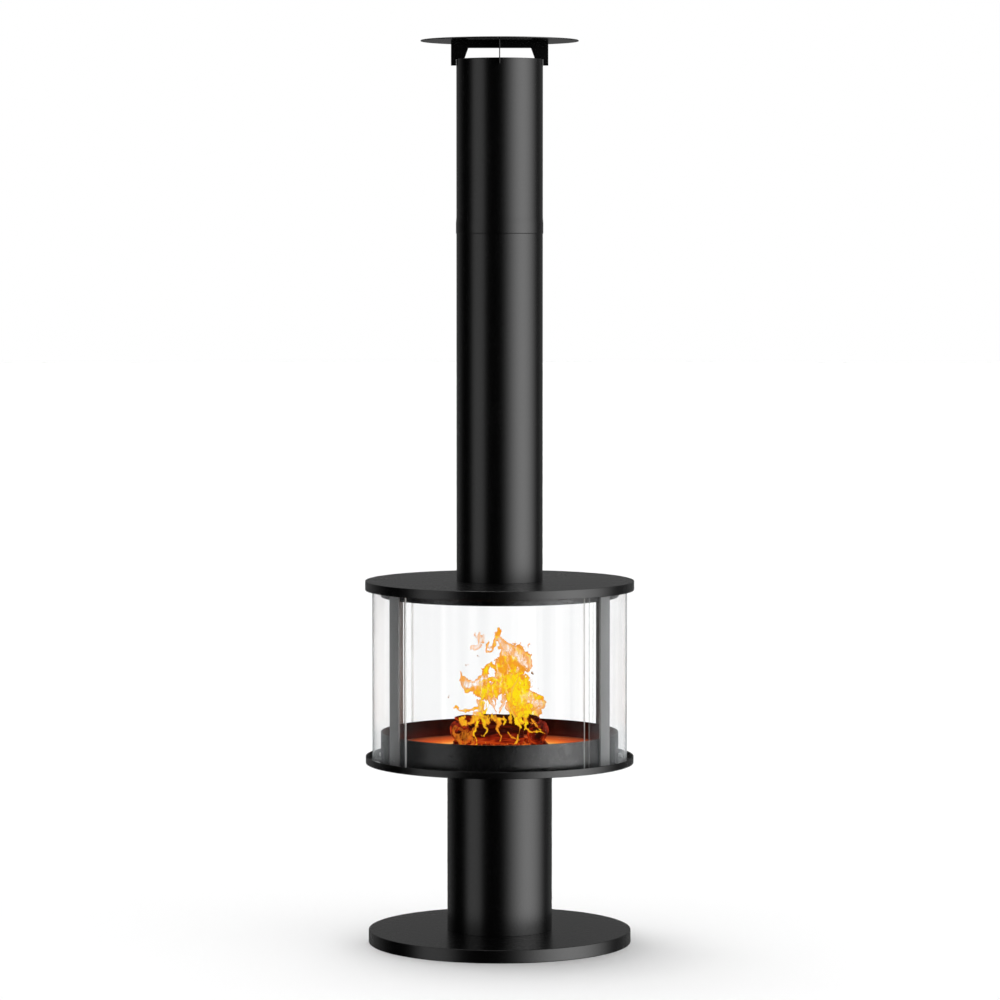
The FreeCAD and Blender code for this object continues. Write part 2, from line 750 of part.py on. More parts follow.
def make_hood():
    """The hood: a flat disc, open in the middle for the flue, with a rolled skirt under its edge."""
    plate = new_body("hood_plate")
    turn_outline(plate, rectangle(SPIGOT_OUTER + S.fit_gap, HOOD_RADIUS, HOOD_UNDERSIDE, HOOD_TOP))
    round_edges(plate, S.edge_round, [(HOOD_RADIUS, HOOD_TOP)])

    skirt_foot = HOOD_TOP - S.hood_skirt
    skirt = new_body("hood_skirt")
    turn_outline(skirt, rectangle(HOOD_RADIUS - S.hood_sheet, HOOD_RADIUS, skirt_foot, HOOD_UNDERSIDE))
    round_edges(skirt, S.edge_round, [(HOOD_RADIUS, skirt_foot)])
    return [plate, skirt]


def flue_blanks():
    """The undrilled spigot and the two undrilled lengths of flue, with the upper one's socket."""
    flange_foot = HOOD_UNDERSIDE - S.spigot_wall
    flange_outer = SPIGOT_OUTER + S.spigot_flange_width
    spigot = new_body("flue_spigot_blank")
    turn_outline(spigot, [
        (SPIGOT_INNER, flange_foot), (flange_outer, flange_foot), (flange_outer, HOOD_UNDERSIDE),
        (SPIGOT_OUTER, HOOD_UNDERSIDE), (SPIGOT_OUTER, HOOD_TOP + S.spigot_height),
        (SPIGOT_INNER, HOOD_TOP + S.spigot_height)])

    lower = ring("chimney_lower_blank", FLUE_INNER, S.flue_radius, HOOD_TOP, PIPE_JOINT + S.socket_depth)
    shoulder = PIPE_JOINT + S.socket_length
    straight_top = shoulder - S.socket_shoulder
    upper = new_body("chimney_upper_blank")
    turn_outline(upper, [
        (SOCKET_INNER, PIPE_JOINT), (SOCKET_OUTER, PIPE_JOINT), (SOCKET_OUTER, straight_top),
        (S.flue_radius, shoulder), (S.flue_radius, FLUE_TOP), (FLUE_INNER, FLUE_TOP),
        (FLUE_INNER, shoulder), (SOCKET_INNER, straight_top)])
    return spigot, lower, upper


def make_flue():
    """The flue on its spigot, held at each joint by sheet screws that face the rear."""
    spigot, lower, upper = flue_blanks()
    joints = {
        "spigot": (S.flue_radius, HOOD_TOP + S.spigot_height / 2),
        "socket": (SOCKET_OUTER, PIPE_JOINT + S.socket_depth / 2),
    }
    drills = {}
    screws = []
    for joint, (outer, height) in joints.items():
        spots = [(angle, height) for angle in PIPE_SCREW_ANGLES]
        start = outer - S.pipe_screw_length
        drills[joint] = radial_rods(f"{joint}_drill", S.sheet_screw_radius + S.fit_gap, start,
                                    S.pipe_screw_length + S.overrun, spots)
        seat = outer + S.fit_gap
        screws += radial_screws(f"{joint}_screw", spots, S.sheet_screw_head, S.sheet_screw_head_height,
                                seat, S.sheet_screw_radius, start, S.pipe_screw_length + S.fit_gap)
    return [
        cut("flue_spigot", spigot, compound("spigot_drills", drills["spigot"])),
        cut("chimney_lower", lower, compound("lower_drills", drills["spigot"] + drills["socket"])),
        cut("chimney_upper", upper, compound("upper_drills", drills["socket"])),
        compound("pipe_screws", screws),
    ]


def make_cap():
    """The flat rain cap on two plates halved into each other, slotted over the flue's end."""
    disc = new_body("cap_disc")
    turn_outline(disc, rectangle(ZERO, CAP_RADIUS, CAP_FOOT, CAP_FOOT + S.cap_sheet))
    round_edges(disc, S.edge_round, [(CAP_RADIUS, CAP_FOOT + S.cap_sheet)])

    leg_foot = FLUE_TOP - S.brace_leg_drop
    slot_top = FLUE_TOP + S.run_gap
    slot_out = S.flue_radius + S.run_gap
    slot_in = FLUE_INNER - S.run_gap
    leg_in = slot_in - S.leg_foot_width
    window_top = CAP_FOOT - S.brace_strip
    right = [(BRACE_HALF_WIDTH, CAP_FOOT), (BRACE_HALF_WIDTH, leg_foot), (slot_out, leg_foot),
             (slot_out, slot_top), (slot_in, slot_top), (slot_in, leg_foot), (leg_in, leg_foot),
             (WINDOW_HALF_TOP, window_top)]
    left = [(-x, z) for x, z in reversed(right)]
    halving = S.brace_sheet / 2 + S.fit_gap
    middle = CAP_FOOT - S.brace_strip / 2
    notches = {
        "cap_brace_x": ("XZ_Plane", [], [(-halving, CAP_FOOT), (-halving, middle), (halving, middle),
                                         (halving, CAP_FOOT)]),
        "cap_brace_y": ("YZ_Plane", [(-halving, window_top), (-halving, middle + S.fit_gap),
                                     (halving, middle + S.fit_gap), (halving, window_top)], []),
    }
    braces = []
    for name, (plane, low_notch, high_notch) in notches.items():
        brace = new_body(name)
        outline = right + [(x, z) for x, z in reversed(low_notch)] + left + high_notch
        pad_outline(brace, "plate", plane, [outline], S.brace_sheet, -S.brace_sheet / 2)
        braces.append(brace)
    return [disc] + braces


def check_and_write(pieces):
    """Stops on any failed object or bad solid, then writes each piece to its own file."""
    DOC.recompute()
    for item in DOC.Objects:
        if "Invalid" in item.State or "Error" in item.State:
            raise ValueError(f"{item.Name} failed: {item.State}")
    for piece in pieces:
        if piece.Shape.isNull() or not piece.Shape.isValid():
            raise ValueError(f"{piece.Label} has no valid solid")
    os.makedirs("parts", exist_ok=True)
    for piece in pieces:
        piece.Shape.exportStep(f"parts/{piece.Label}.step")
        print(f"{piece.Label}: {len(piece.Shape.Solids)} solids, {piece.Shape.Volume:.0f} mm3")


pieces = make_foot() + make_pedestal() + make_tray() + make_frame() + make_hearth() + make_fuel()
pieces += make_glazing() + make_hood() + make_flue() + make_cap()
check_and_write(pieces)
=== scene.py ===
"""Looks of a free-standing outdoor fireplace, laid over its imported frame, piece by piece."""

import math

import bpy
import numpy as np
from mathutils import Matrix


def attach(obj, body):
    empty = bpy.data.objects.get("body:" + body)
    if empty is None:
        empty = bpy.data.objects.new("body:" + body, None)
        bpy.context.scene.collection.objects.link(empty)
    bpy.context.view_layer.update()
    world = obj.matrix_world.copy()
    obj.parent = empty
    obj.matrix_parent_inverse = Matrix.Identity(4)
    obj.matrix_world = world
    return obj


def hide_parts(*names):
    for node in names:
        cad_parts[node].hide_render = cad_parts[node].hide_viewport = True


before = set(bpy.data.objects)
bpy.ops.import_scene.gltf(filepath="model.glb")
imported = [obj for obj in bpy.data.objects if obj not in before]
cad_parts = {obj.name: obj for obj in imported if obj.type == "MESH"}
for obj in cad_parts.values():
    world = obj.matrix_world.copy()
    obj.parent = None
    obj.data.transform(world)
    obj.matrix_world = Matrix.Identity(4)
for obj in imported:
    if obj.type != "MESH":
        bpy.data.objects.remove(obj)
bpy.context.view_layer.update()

# The camera stands twelve metres in front of the fireplace, at a little over head height.
# It looks down by three and a half degrees through a long lens.
CAMERA_DISTANCE = 11.957
CAMERA_HEIGHT = 2.030
CAMERA_TILT = 0.0617
CAMERA_LENS = 148.53
CAMERA_SHIFT = 0.00037

camera = bpy.data.objects.new("Camera", bpy.data.cameras.new("Camera"))
camera.location = (0, -CAMERA_DISTANCE, CAMERA_HEIGHT)
camera.rotation_euler = (math.pi / 2 - CAMERA_TILT, 0, 0)
camera.data.lens = CAMERA_LENS
camera.data.shift_x = CAMERA_SHIFT
bpy.context.scene.collection.objects.link(camera)
bpy.context.scene.camera = camera
bpy.context.scene.view_settings.view_transform = "Standard"

# The studio: a wide softbox on the right, a narrow one on the left, and a panel in a dim dome
# overhead that leans back and left. Backdrop and floor are white to the eye and through the glass.
# Edges are in degrees: of heading from the front, of height, or from the panel's middle.
RIGHT_BOX_EDGES = (3, 60, 62, 122)
RIGHT_BOX_LEVEL = 4.0
LEFT_BOX_EDGES = (-85, -68, -48, -34)
LEFT_BOX_LEVEL = 1.0
BOX_HEIGHT = (15, 26)
TOP_PANEL_LEAN = 10
TOP_PANEL_SIDE = 4
TOP_PANEL_EDGES = (7, 18)
TOP_PANEL_LEVEL = 9.9
DOME_HEIGHT = (30, 55)
DOME_LEVEL = 0.85
BACKDROP_EDGES = (105, 145)
BACKDROP_LEVEL = 0.16
FLOOR_RADIUS = 60
FLOOR_STEPS = 96
FLOOR_COLOUR = (0.94, 0.94, 0.94, 1)
FLOOR_GLOW = 0.02
WHITE = (1, 1, 1, 1)
IN_DEGREES = 180 / math.pi


class Link:
    """A node's output, which sums, products, powers and ramps can be written with."""

    def __init__(self, tree, socket):
        self.tree = tree
        self.socket = socket

    def __add__(self, other):
        return self.tree.math("ADD", self, other)

    def __radd__(self, other):
        return self.tree.math("ADD", other, self)

    def __sub__(self, other):
        return self.tree.math("SUBTRACT", self, other)

    def __rsub__(self, other):
        return self.tree.math("SUBTRACT", other, self)

    def __mul__(self, other):
        return self.tree.math("MULTIPLY", self, other)

    def __rmul__(self, other):
        return self.tree.math("MULTIPLY", other, self)

    def __truediv__(self, other):
        return self.tree.math("DIVIDE", self, other)

    def __pow__(self, other):
        return self.tree.math("POWER", self, other)

    def absolute(self):
        """Its size without its sign."""
        return self.tree.math("ABSOLUTE", self)

    def capped(self):
        """Itself where it is below 1, and else 1."""
        return self.tree.math("MINIMUM", self, 1)

    def ramp(self, low, high):
        """Rises smoothly from 0 at low to 1 at high."""
        return self.tree.node("ShaderNodeMapRange", {"interpolation_type": "SMOOTHSTEP"},
                              {"Value": self, "From Min": low, "From Max": high})

    def hill(self, edges):
        """Rises from the first edge to the second and falls from the third to the fourth."""
        return self.ramp(*edges[:2]) * (1 - self.ramp(*edges[2:]))


class Tree:
    """The node tree of a material or of the world, which one method fills."""

    def __init__(self, owner):
        owner.use_nodes = True
        self.owner = owner
        self.nodes = owner.node_tree.nodes
        self.links = owner.node_tree.links
        self.nodes.clear()

    def node(self, kind, settings=None, sockets=None, output=0):
        """Adds a node: first its settings, then the values or links of its sockets."""
        new = self.nodes.new(kind)
        for name, value in (settings or {}).items():
            if name == "stops":
                elements = new.color_ramp.elements
                for place, colour in value[len(elements):]:
                    elements.new(place)
                for element, (place, colour) in zip(elements, value):
                    element.position = place
                    element.color = colour
            else:
                setattr(new, name, value)
        for name, value in (sockets or {}).items():
            if isinstance(value, Link):
                self.links.new(value.socket, new.inputs[name])
            else:
                new.inputs[name].default_value = value
        return Link(self, new.outputs[output]) if new.outputs else None

    def math(self, operation, *values):
        """The Math node of an operation on these values."""
        return self.node("ShaderNodeMath", {"operation": operation}, dict(enumerate(values)))

    def part(self, vector, axis):
        """A vector's part along X, Y or Z."""
        return self.node("ShaderNodeSeparateXYZ", {}, {0: vector}, axis)

    def place(self, scale=(1, 1, 1), turn=(0, 0, 0)):
        """The object's own coordinates, in metres, scaled and turned by a Mapping node."""
        here = self.node("ShaderNodeTexCoord", output="Object")
        if scale == (1, 1, 1) and turn == (0, 0, 0):
            return here
        return self.node("ShaderNodeMapping", {}, {"Vector": here, "Scale": scale, "Rotation": turn})

    def off_axis(self):
        """The distance from the flue's axis, in metres."""
        flat = self.place(scale=(1, 1, 0))
        return self.node("ShaderNodeVectorMath", {"operation": "LENGTH"}, {0: flat}, "Value")

    def noise(self, where, scale, detail=2.0, roughness=0.5, swirl=0.0):
        """Cloudy noise from 0 to 1."""
        return self.node("ShaderNodeTexNoise", {}, {
            "Vector": where, "Scale": scale, "Detail": detail, "Roughness": roughness, "Distortion": swirl})

    def blend(self, share, first, second):
        """A colour between two colours."""
        return self.node("ShaderNodeMix", {"data_type": "RGBA"}, {0: share, 6: first, 7: second}, 2)

    def bump(self, height, depth):
        """The normal of a surface whose relief is that many metres deep."""
        return self.node("ShaderNodeBump", {}, {"Height": height, "Distance": depth, "Strength": 1.0})

    def light_path(self, ray):
        """1 on rays of that kind and 0 on others, or how often a ray was turned so far."""
        return self.node("ShaderNodeLightPath", output=ray)

    def looked_at(self):
        """1 on rays from the eye, straight or through glass, and 0 on others and after a reflection."""
        rays = self.light_path("Is Camera Ray"), self.light_path("Is Transmission Ray")
        turns = self.light_path("Diffuse Depth") + self.light_path("Glossy Depth")
        return self.math("MAXIMUM", *rays) * (1 - turns.capped())

    def finish(self, shader, kind="Material"):
        """Ends the tree in its output node, and gives what the tree belongs to."""
        self.node(f"ShaderNodeOutput{kind}", {}, {"Surface": shader})
        return self.owner

    def principled(self, sockets):
        """Ends the tree in a Principled shader with these sockets."""
        return self.finish(self.node("ShaderNodeBsdfPrincipled", {}, sockets))


sky = Tree(bpy.data.worlds.new("Studio"))
direction = sky.node("ShaderNodeTexCoord", output="Generated")
east, north, rise = (sky.part(direction, axis) for axis in "XYZ")
heading = sky.math("ARCTAN2", east, north * -1) * IN_DEGREES
elevation = sky.math("ARCSINE", rise) * IN_DEGREES
back, left = math.sin(math.radians(TOP_PANEL_LEAN)), math.sin(math.radians(TOP_PANEL_SIDE))
from_panel = north * back - east * left + rise * (1 - back ** 2 - left ** 2) ** 0.5
from_panel = sky.math("ARCCOSINE", from_panel) * IN_DEGREES
boxes = heading.hill(RIGHT_BOX_EDGES) * RIGHT_BOX_LEVEL + heading.hill(LEFT_BOX_EDGES) * LEFT_BOX_LEVEL
level = boxes * (1 - elevation.absolute().ramp(*BOX_HEIGHT))
level = level + (1 - from_panel.ramp(*TOP_PANEL_EDGES)) * TOP_PANEL_LEVEL
level = level + elevation.ramp(*DOME_HEIGHT) * DOME_LEVEL
level = level + heading.absolute().ramp(*BACKDROP_EDGES) * BACKDROP_LEVEL
seen = sky.looked_at()
bpy.context.scene.world = sky.finish(sky.node("ShaderNodeBackground", {}, {
    "Color": WHITE, "Strength": level * (1 - seen) + seen}), "World")

ground = Tree(bpy.data.materials.new("studio_floor"))
pale = ground.node("ShaderNodeAddShader", {}, {
    0: ground.node("ShaderNodeBsdfDiffuse", {}, {"Color": FLOOR_COLOUR}),
    1: ground.node("ShaderNodeEmission", {}, {"Color": WHITE, "Strength": ground.looked_at() * FLOOR_GLOW})})
floor_material = ground.finish(ground.node("ShaderNodeMixShader", {}, {
    0: ground.light_path("Glossy Depth").capped(), 1: pale, 2: ground.node("ShaderNodeBsdfTransparent")}))


def add_mesh(name, points, faces, normals=None):
    """A mesh object from whole arrays; normals, one for each point, round its shading."""
    mesh = bpy.data.meshes.new(name)
    faces = [face for part in faces for face in part.tolist()]
    mesh.from_pydata(np.asarray(points, float).tolist(), [], faces)
    mesh.shade_smooth()
    if normals is not None:
        mesh.normals_split_custom_set_from_vertices(np.asarray(normals, float).tolist())
    piece = bpy.data.objects.new(name, mesh)
    bpy.context.scene.collection.objects.link(piece)
    return piece


floor_turn = np.linspace(0, 2 * math.pi, FLOOR_STEPS, endpoint=False)
floor_ring = np.stack([np.cos(floor_turn), np.sin(floor_turn), floor_turn * 0], -1) * FLOOR_RADIUS
floor = add_mesh("studio_floor", floor_ring, [np.arange(FLOOR_STEPS)[None]])
floor.data.materials.append(floor_material)

# The foot: a spun steel cover with a rolled top edge, coated matt black, over a cast disc.
# Six bolts with round sockets rise through both into the pedestal.
COVER_WALL = 0.005
COVER_EDGE = 0.0022
COAT_COLOUR = (0.0009, 0.0009, 0.0010, 1)
COAT_DUST = (0.0030, 0.0029, 0.0028, 1)
COAT_ROUGHNESS = 0.27
COAT_INDEX = 1.52
COAT_GRAIN = 900
COAT_GRAIN_DEPTH = 0.000005
# The near-black of painted shade, laid over faces turned to the fire.
PAINTED_SHADE_COLOUR = (0.014, 0.013, 0.013, 1)
ARC_STEPS = 7
TURN_STEPS = 256


def coat(name, colour, dust, roughness, painted_shade=None):
    """Powder coat: a fine orange peel, faint clouds of sheen and a breath of dust.

    Painted shade is the two radii between which a darkening of painted shade fades out, on a face turned to
    the fire."""
    tree = Tree(bpy.data.materials.new(name))
    here = tree.place()
    peel = tree.noise(here, COAT_GRAIN, 3.0, 0.6)
    clouds = tree.noise(here, 7.0, 4.0, 0.6)
    streaks = tree.noise(tree.place(scale=(9, 9, 1.4)), 3.0, 3.0)
    tone = tree.blend(clouds.ramp(0.5, 0.8) * 0.5, colour, dust)
    if painted_shade:
        # Painted shade: faces nearer the axis than the radii are darkened.
        shade_share = (1 - tree.off_axis().ramp(*painted_shade)) * (0.8 + clouds * 0.3)
        tone = tree.blend(shade_share.capped(), tone, PAINTED_SHADE_COLOUR)
    return tree.principled({
        "Base Color": tone,
        "Roughness": roughness + (clouds - 0.5) * 0.02 + (streaks - 0.5) * 0.012 + (peel - 0.5) * 0.03,
        "IOR": COAT_INDEX,
        "Normal": tree.bump(peel, COAT_GRAIN_DEPTH)})


def rounded(corners, radius):
    """An outline whose inner corners are arcs of that radius, with the outward normal of each point.

    Each corner's arc starts where the side before it touches a circle of the radius, and its
    points are that circle's, turned from the first side's normal to the second's."""
    corners = np.asarray(corners, float)
    open_ends = corners[0][0] == 0
    points, normals = [], []
    last = len(corners) - 1
    for number, corner in enumerate(corners):
        before = corner - corners[number - 1]
        after = corners[(number + 1) % len(corners)] - corner
        if open_ends and number in (0, last):
            side = after if number == 0 else before
            side = side / np.linalg.norm(side)
            points.append(corner[None])
            normals.append(np.array([[side[1], -side[0]]]))
            continue
        before, after = before / np.linalg.norm(before), after / np.linalg.norm(after)
        turn = math.atan2(before[0] * after[1] - before[1] * after[0], before @ after)
        bend = np.linspace(0, turn, ARC_STEPS)
        out = np.array([before[1], -before[0]])
        spread = np.stack([out[0] * np.cos(bend) - out[1] * np.sin(bend),
                           out[0] * np.sin(bend) + out[1] * np.cos(bend)], -1)
        start = corner - before * radius * math.tan(abs(turn) / 2)
        centre = start - out * radius * np.sign(turn)
        points.append(centre + spread * radius * np.sign(turn))
        normals.append(spread)
    return np.concatenate(points), np.concatenate(normals)


def grid_faces(rows, columns, close_rows=True, close_columns=True):
    """The faces between the points of a grid that is stored row by row."""
    row = np.arange(rows - (not close_rows))[:, None]
    column = np.arange(columns - (not close_columns))[None]
    next_row, next_column = (row + 1) % rows, (column + 1) % columns
    return np.stack([row * columns + column, next_row * columns + column,
                     next_row * columns + next_column, row * columns + next_column], -1).reshape(-1, 4)


def fan(pole, ring):
    """The triangles between a pole and the ring of points round it."""
    return np.stack([np.full(len(ring), pole), ring, np.roll(ring, -1)], -1)


def turned(name, corners, radius):
    """Turns a rounded outline of (radius, height) about Z.

    A point at angle a is (r cos a, r sin a, z). An outline that starts and ends on the axis
    closes in one point at each end."""
    outline, slopes = rounded(corners, radius)
    poled = outline[0][0] == 0
    body, lean = (outline[1:-1], slopes[1:-1]) if poled else (outline, slopes)
    angle = np.linspace(0, 2 * math.pi, TURN_STEPS, endpoint=False)[:, None]

    def sweep(pairs):
        return np.stack([pairs[:, 0] * np.cos(angle), pairs[:, 0] * np.sin(angle),
                         pairs[:, 1] + angle * 0], -1).reshape(-1, 3)

    points, normals = sweep(body), sweep(lean)
    faces = [grid_faces(TURN_STEPS, len(body), True, not poled)]
    if poled:
        count, first = len(points), np.arange(TURN_STEPS) * len(body)
        faces += [fan(count, first)[:, ::-1], fan(count + 1, first + len(body) - 1)]
        points = np.concatenate([points, [[0, 0, outline[0][1]], [0, 0, outline[-1][1]]]])
        normals = np.concatenate([normals, [[0, 0, -1], [0, 0, 1]]])
    return add_mesh(name, points, faces, normals)


def points_of(piece):
    """The places of a piece's points, as one array."""
    places = np.empty(3 * len(piece.data.vertices), np.float32)
    piece.data.vertices.foreach_get("co", places)
    return places.reshape(-1, 3).astype(float)


def reach(node):
    """Least and greatest radius of a node about the flue's axis, and its least and greatest height."""
    points = points_of(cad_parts[node])
    radius = np.hypot(points[:, 0], points[:, 1])
    return radius.min(), radius.max(), points[:, 2].min(), points[:, 2].max()


def seat(piece, material, body, slot, *nodes):
    """Gives a new piece its finish and its body, and lets it stand for CAD nodes."""
    piece.data.materials.append(material)
    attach(piece, body)
    if nodes:
        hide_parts(*nodes)
    return piece


def painted(piece, *nodes):
    """Gives a new piece of the fixed frame its black coat."""
    return seat(piece, frame_coat, "stove", "foot_and_frame_paint", *nodes)


def dress(node, material, edge=0.0):
    """Gives a CAD node its finish, and breaks its sharp edges by that many metres."""
    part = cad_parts[node]
    for place in part.material_slots:
        place.material = material
    if edge:
        part.modifiers.new("joined", "WELD").merge_threshold = 0.00002
        bevel = part.modifiers.new("edges", "BEVEL")
        bevel.width = edge
        bevel.segments = 2
        bevel.limit_method = "ANGLE"


def iron(name, colour, scale_colour):
    """Rough cast iron: a sandy skin with scaly clouds."""
    tree = Tree(bpy.data.materials.new(name))
    here = tree.place()
    sand = tree.noise(here, 420, 5.0, 0.65)
    scale = tree.noise(here, 26, 4.0, 0.6)
    return tree.principled({
        "Base Color": tree.blend(scale.ramp(0.42, 0.66), colour, scale_colour),
        "Metallic": 0.6,
        "Roughness": 0.55 + (sand - 0.5) * 0.3,
        "Normal": tree.bump(sand, 0.0004)})


def dimmed(colour, share):
    """A colour with that share of its light."""
    return tuple(share * part for part in colour[:3]) + (1,)


def plated(name, colour, roughness, grain=(1, 1, 1), metal=1.0):
    """Bright plated or stainless steel, with fine brush lines along one direction."""
    tree = Tree(bpy.data.materials.new(name))
    lines = tree.noise(tree.place(scale=grain), 900, 2.0)
    clouds = tree.noise(tree.place(), 60, 3.0)
    return tree.principled({
        "Base Color": tree.blend(clouds * 0.4, colour, dimmed(colour, 0.85)),
        "Metallic": metal,
        "Roughness": roughness + (lines - 0.5) * 0.16,
        "Normal": tree.bump(lines, 0.00001)})


frame_coat = coat("matt_black_coat", COAT_COLOUR, COAT_DUST, COAT_ROUGHNESS)
ballast_casting = iron("ballast_casting", (0.10, 0.10, 0.105, 1), (0.16, 0.13, 0.11, 1))
zinc = plated("zinc_plate", (0.62, 0.63, 0.66, 1), 0.28)

_, cover_radius, cover_low, cover_high = reach("base_cover")
cover_inner = cover_radius - COVER_WALL
cover_ceiling = cover_high - COVER_WALL
cover = turned("foot_cover", [
    (0, cover_ceiling), (cover_inner, cover_ceiling), (cover_inner, cover_low), (cover_radius, cover_low),
    (cover_radius, cover_high), (0, cover_high)], COVER_EDGE)
painted(cover, "base_cover")
dress("ballast_disc", ballast_casting)
dress("base_bolts", zinc)

# The pedestal: a rolled and welded steel tube with a flange ring inside each end.
# Its ends stand flush on the foot and under the tray.
TUBE_EDGE = 0.0006


def tube(name, node, edge):
    """A plain turned ring or tube with the frame's radii and heights."""
    inner, outer, low, high = reach(node)
    return painted(turned(name, [(inner, low), (outer, low), (outer, high), (inner, high)], edge), node)


tube("pedestal", "pedestal_tube", TUBE_EDGE)
for node in ("pedestal_foot_flange", "pedestal_head_flange"):
    dress(node, frame_coat)

# The tray: a spun steel dish with a low rim, whose edges are rolled over a small radius.
# The bowl, the bars and the glass all stand on its floor.
TRAY_WALL = 0.003
TRAY_FLOOR = 0.004
TRAY_EDGE = 0.0012

_, tray_radius, tray_low, tray_high = reach("tray")
tray_floor = tray_low + TRAY_FLOOR
tray_inner = tray_radius - TRAY_WALL
tray = turned("round_tray", [
    (0, tray_low), (tray_radius, tray_low), (tray_radius, tray_high), (tray_inner, tray_high),
    (tray_inner, tray_floor), (0, tray_floor)], TRAY_EDGE)
painted(tray, "tray")

# The bowl wall and the collar: two rolled steel rings of one radius, at the ends of four flat bars.
# The bowl's inner face has lost its black to the fire and turned a scaly red-brown, with a faint
# painted firelight on it that fades upwards. The bars are grey, and the right pair is darkened on its inner
# faces with painted shade.
WALL_EDGE = 0.0008
FIRED_COLOUR = (0.011, 0.0026, 0.0018, 1)
FIRED_RUST = (0.042, 0.0085, 0.0045, 1)
FIRED_GLOSS = 0.04
# A faint painted firelight on the bowl's inner face: its dimmest and brightest colour, and the one it fades
# to above these heights.
FIRED_PAINTED_FIRELIGHT = ((0.014, 0.0010, 0.0005, 1), (0.036, 0.0034, 0.0015, 1), (0.0012, 0.0004, 0.0003, 1))
PAINTED_FIRELIGHT_HEIGHT = (0.572, 0.598)
# Colours of the painted firelight glow on the fire plate, from its dim outer reach to its bright inner one.
PAINTED_GLOW_COLOURS = [
    (0.02, (0, 0, 0, 1)), (0.13, (0.06, 0.012, 0.004, 1)), (0.28, (0.33, 0.052, 0.012, 1)),
    (0.54, (0.66, 0.085, 0.010, 1)), (0.78, (0.92, 0.26, 0.03, 1)), (1.0, (1.0, 0.58, 0.16, 1))]
BAR_EDGE = 0.0007
BAR_COLOUR = (0.175, 0.175, 0.175, 1)
BAR_DUST = (0.205, 0.205, 0.203, 1)
BAR_ROUGHNESS = 0.5
# Radii inside which the right bars' inner faces carry painted shade.
BAR_PAINTED_SHADE = (0.3471, 0.3477)


def fired_steel(name, colour, rust, roughness, heat=None, painted_firelight=None):
    """Steel burnt by the fire: brown scale in clouds and specks over a dull dark ground.

    Heat is the two radii between which a painted glow of firelight fades outwards. Painted firelight is
    the dimmest and the brightest colour of a faint painted firelight, and the colour to which it fades
    upwards."""
    tree = Tree(bpy.data.materials.new(name))
    here = tree.place()
    clouds = tree.noise(here, 14, 5.0, 0.65)
    specks = tree.noise(here, 220, 3.0, 0.7)
    scale = clouds.ramp(0.35, 0.7) * (specks.ramp(0.3, 0.7) * 0.5 + 0.5)
    sockets = {
        "Base Color": tree.blend(scale, colour, rust),
        "Roughness": roughness + (specks - 0.5) * 0.2,
        "Specular IOR Level": FIRED_GLOSS,
        "Emission Strength": 1.0 if heat or painted_firelight else 0.0,
        "Normal": tree.bump(specks + clouds * 0.6, 0.00035)}
    # A painted glow of firelight that fades outwards between the two radii.
    if heat:
        fade = 1 - (tree.off_axis() - heat[0]) / (heat[1] - heat[0])
        glow = fade * (0.8 + clouds * 0.4) + (specks - 0.5) * 0.06
        sockets["Emission Color"] = tree.node("ShaderNodeValToRGB", {"stops": PAINTED_GLOW_COLOURS}, {"Fac": glow})
    # Painted firelight: a faint red glow in clouds that fades out upwards.
    if painted_firelight:
        glow = tree.blend(clouds.ramp(0.3, 0.75), *painted_firelight[:2])
        height = tree.part(here, "Z")
        sockets["Emission Color"] = tree.blend(height.ramp(*PAINTED_FIRELIGHT_HEIGHT), glow, painted_firelight[2])
    return tree.principled(sockets)


fired_wall = fired_steel("fired_bowl_wall", FIRED_COLOUR, FIRED_RUST, 0.5, painted_firelight=FIRED_PAINTED_FIRELIGHT)
bowl = tube("bowl_shell", "bowl_wall", WALL_EDGE)
bowl.data.materials.append(fired_wall)
centres = np.empty(3 * len(bowl.data.polygons), np.float32)
bowl.data.polygons.foreach_get("center", centres)
facing_in = np.hypot(centres[::3], centres[1::3]) < reach("bowl_wall")[0] + WALL_EDGE / 2
bowl.data.polygons.foreach_set("material_index", facing_in.astype(np.int32))
tube("collar_shell", "hood_collar", WALL_EDGE)
bar_coat = coat("matt_grey_bar_coat", BAR_COLOUR, BAR_DUST, BAR_ROUGHNESS)
# The right bars' inner faces are darkened with painted shade.
shaded_bar_coat = coat("bar_coat_painted_shade", BAR_COLOUR, BAR_DUST, BAR_ROUGHNESS, BAR_PAINTED_SHADE)
for end in ("front", "rear"):
    dress(f"post_{end}_left", bar_coat, BAR_EDGE)
    dress(f"post_{end}_right", shaded_bar_coat, BAR_EDGE)

# The fire plate, its rings, the grate and the ash pan, all of bare steel or cast iron.
# They are stained by heat and dusted with pale ash. The fire plate also carries a painted glow of
# firelight, bright near the embers and fading outwards.
PLATE_COLOUR = (0.014, 0.005, 0.003, 1)
PLATE_ASH = (0.045, 0.022, 0.014, 1)
PLATE_EDGE = 0.0006
PLATE_PAINTED_GLOW = (0.155, 0.362)

hearth_steel = fired_steel("heat_stained_steel_painted_glow", PLATE_COLOUR, PLATE_ASH, 0.62, PLATE_PAINTED_GLOW)
dark_steel = fired_steel("ash_pan_steel", (0.05, 0.042, 0.038, 1), (0.12, 0.10, 0.09, 1), 0.5)
grate_casting = iron("grate_casting", (0.05, 0.045, 0.04, 1), (0.16, 0.06, 0.03, 1))
for node in ("plate_ring", "grate_ring"):
    dress(node, frame_coat)
dress("fire_plate", hearth_steel, PLATE_EDGE)
dress("fire_grate", grate_casting, PLATE_EDGE)
dress("ash_pan", dark_steel)
dress("ash_pan_grips", dark_steel, PLATE_EDGE)

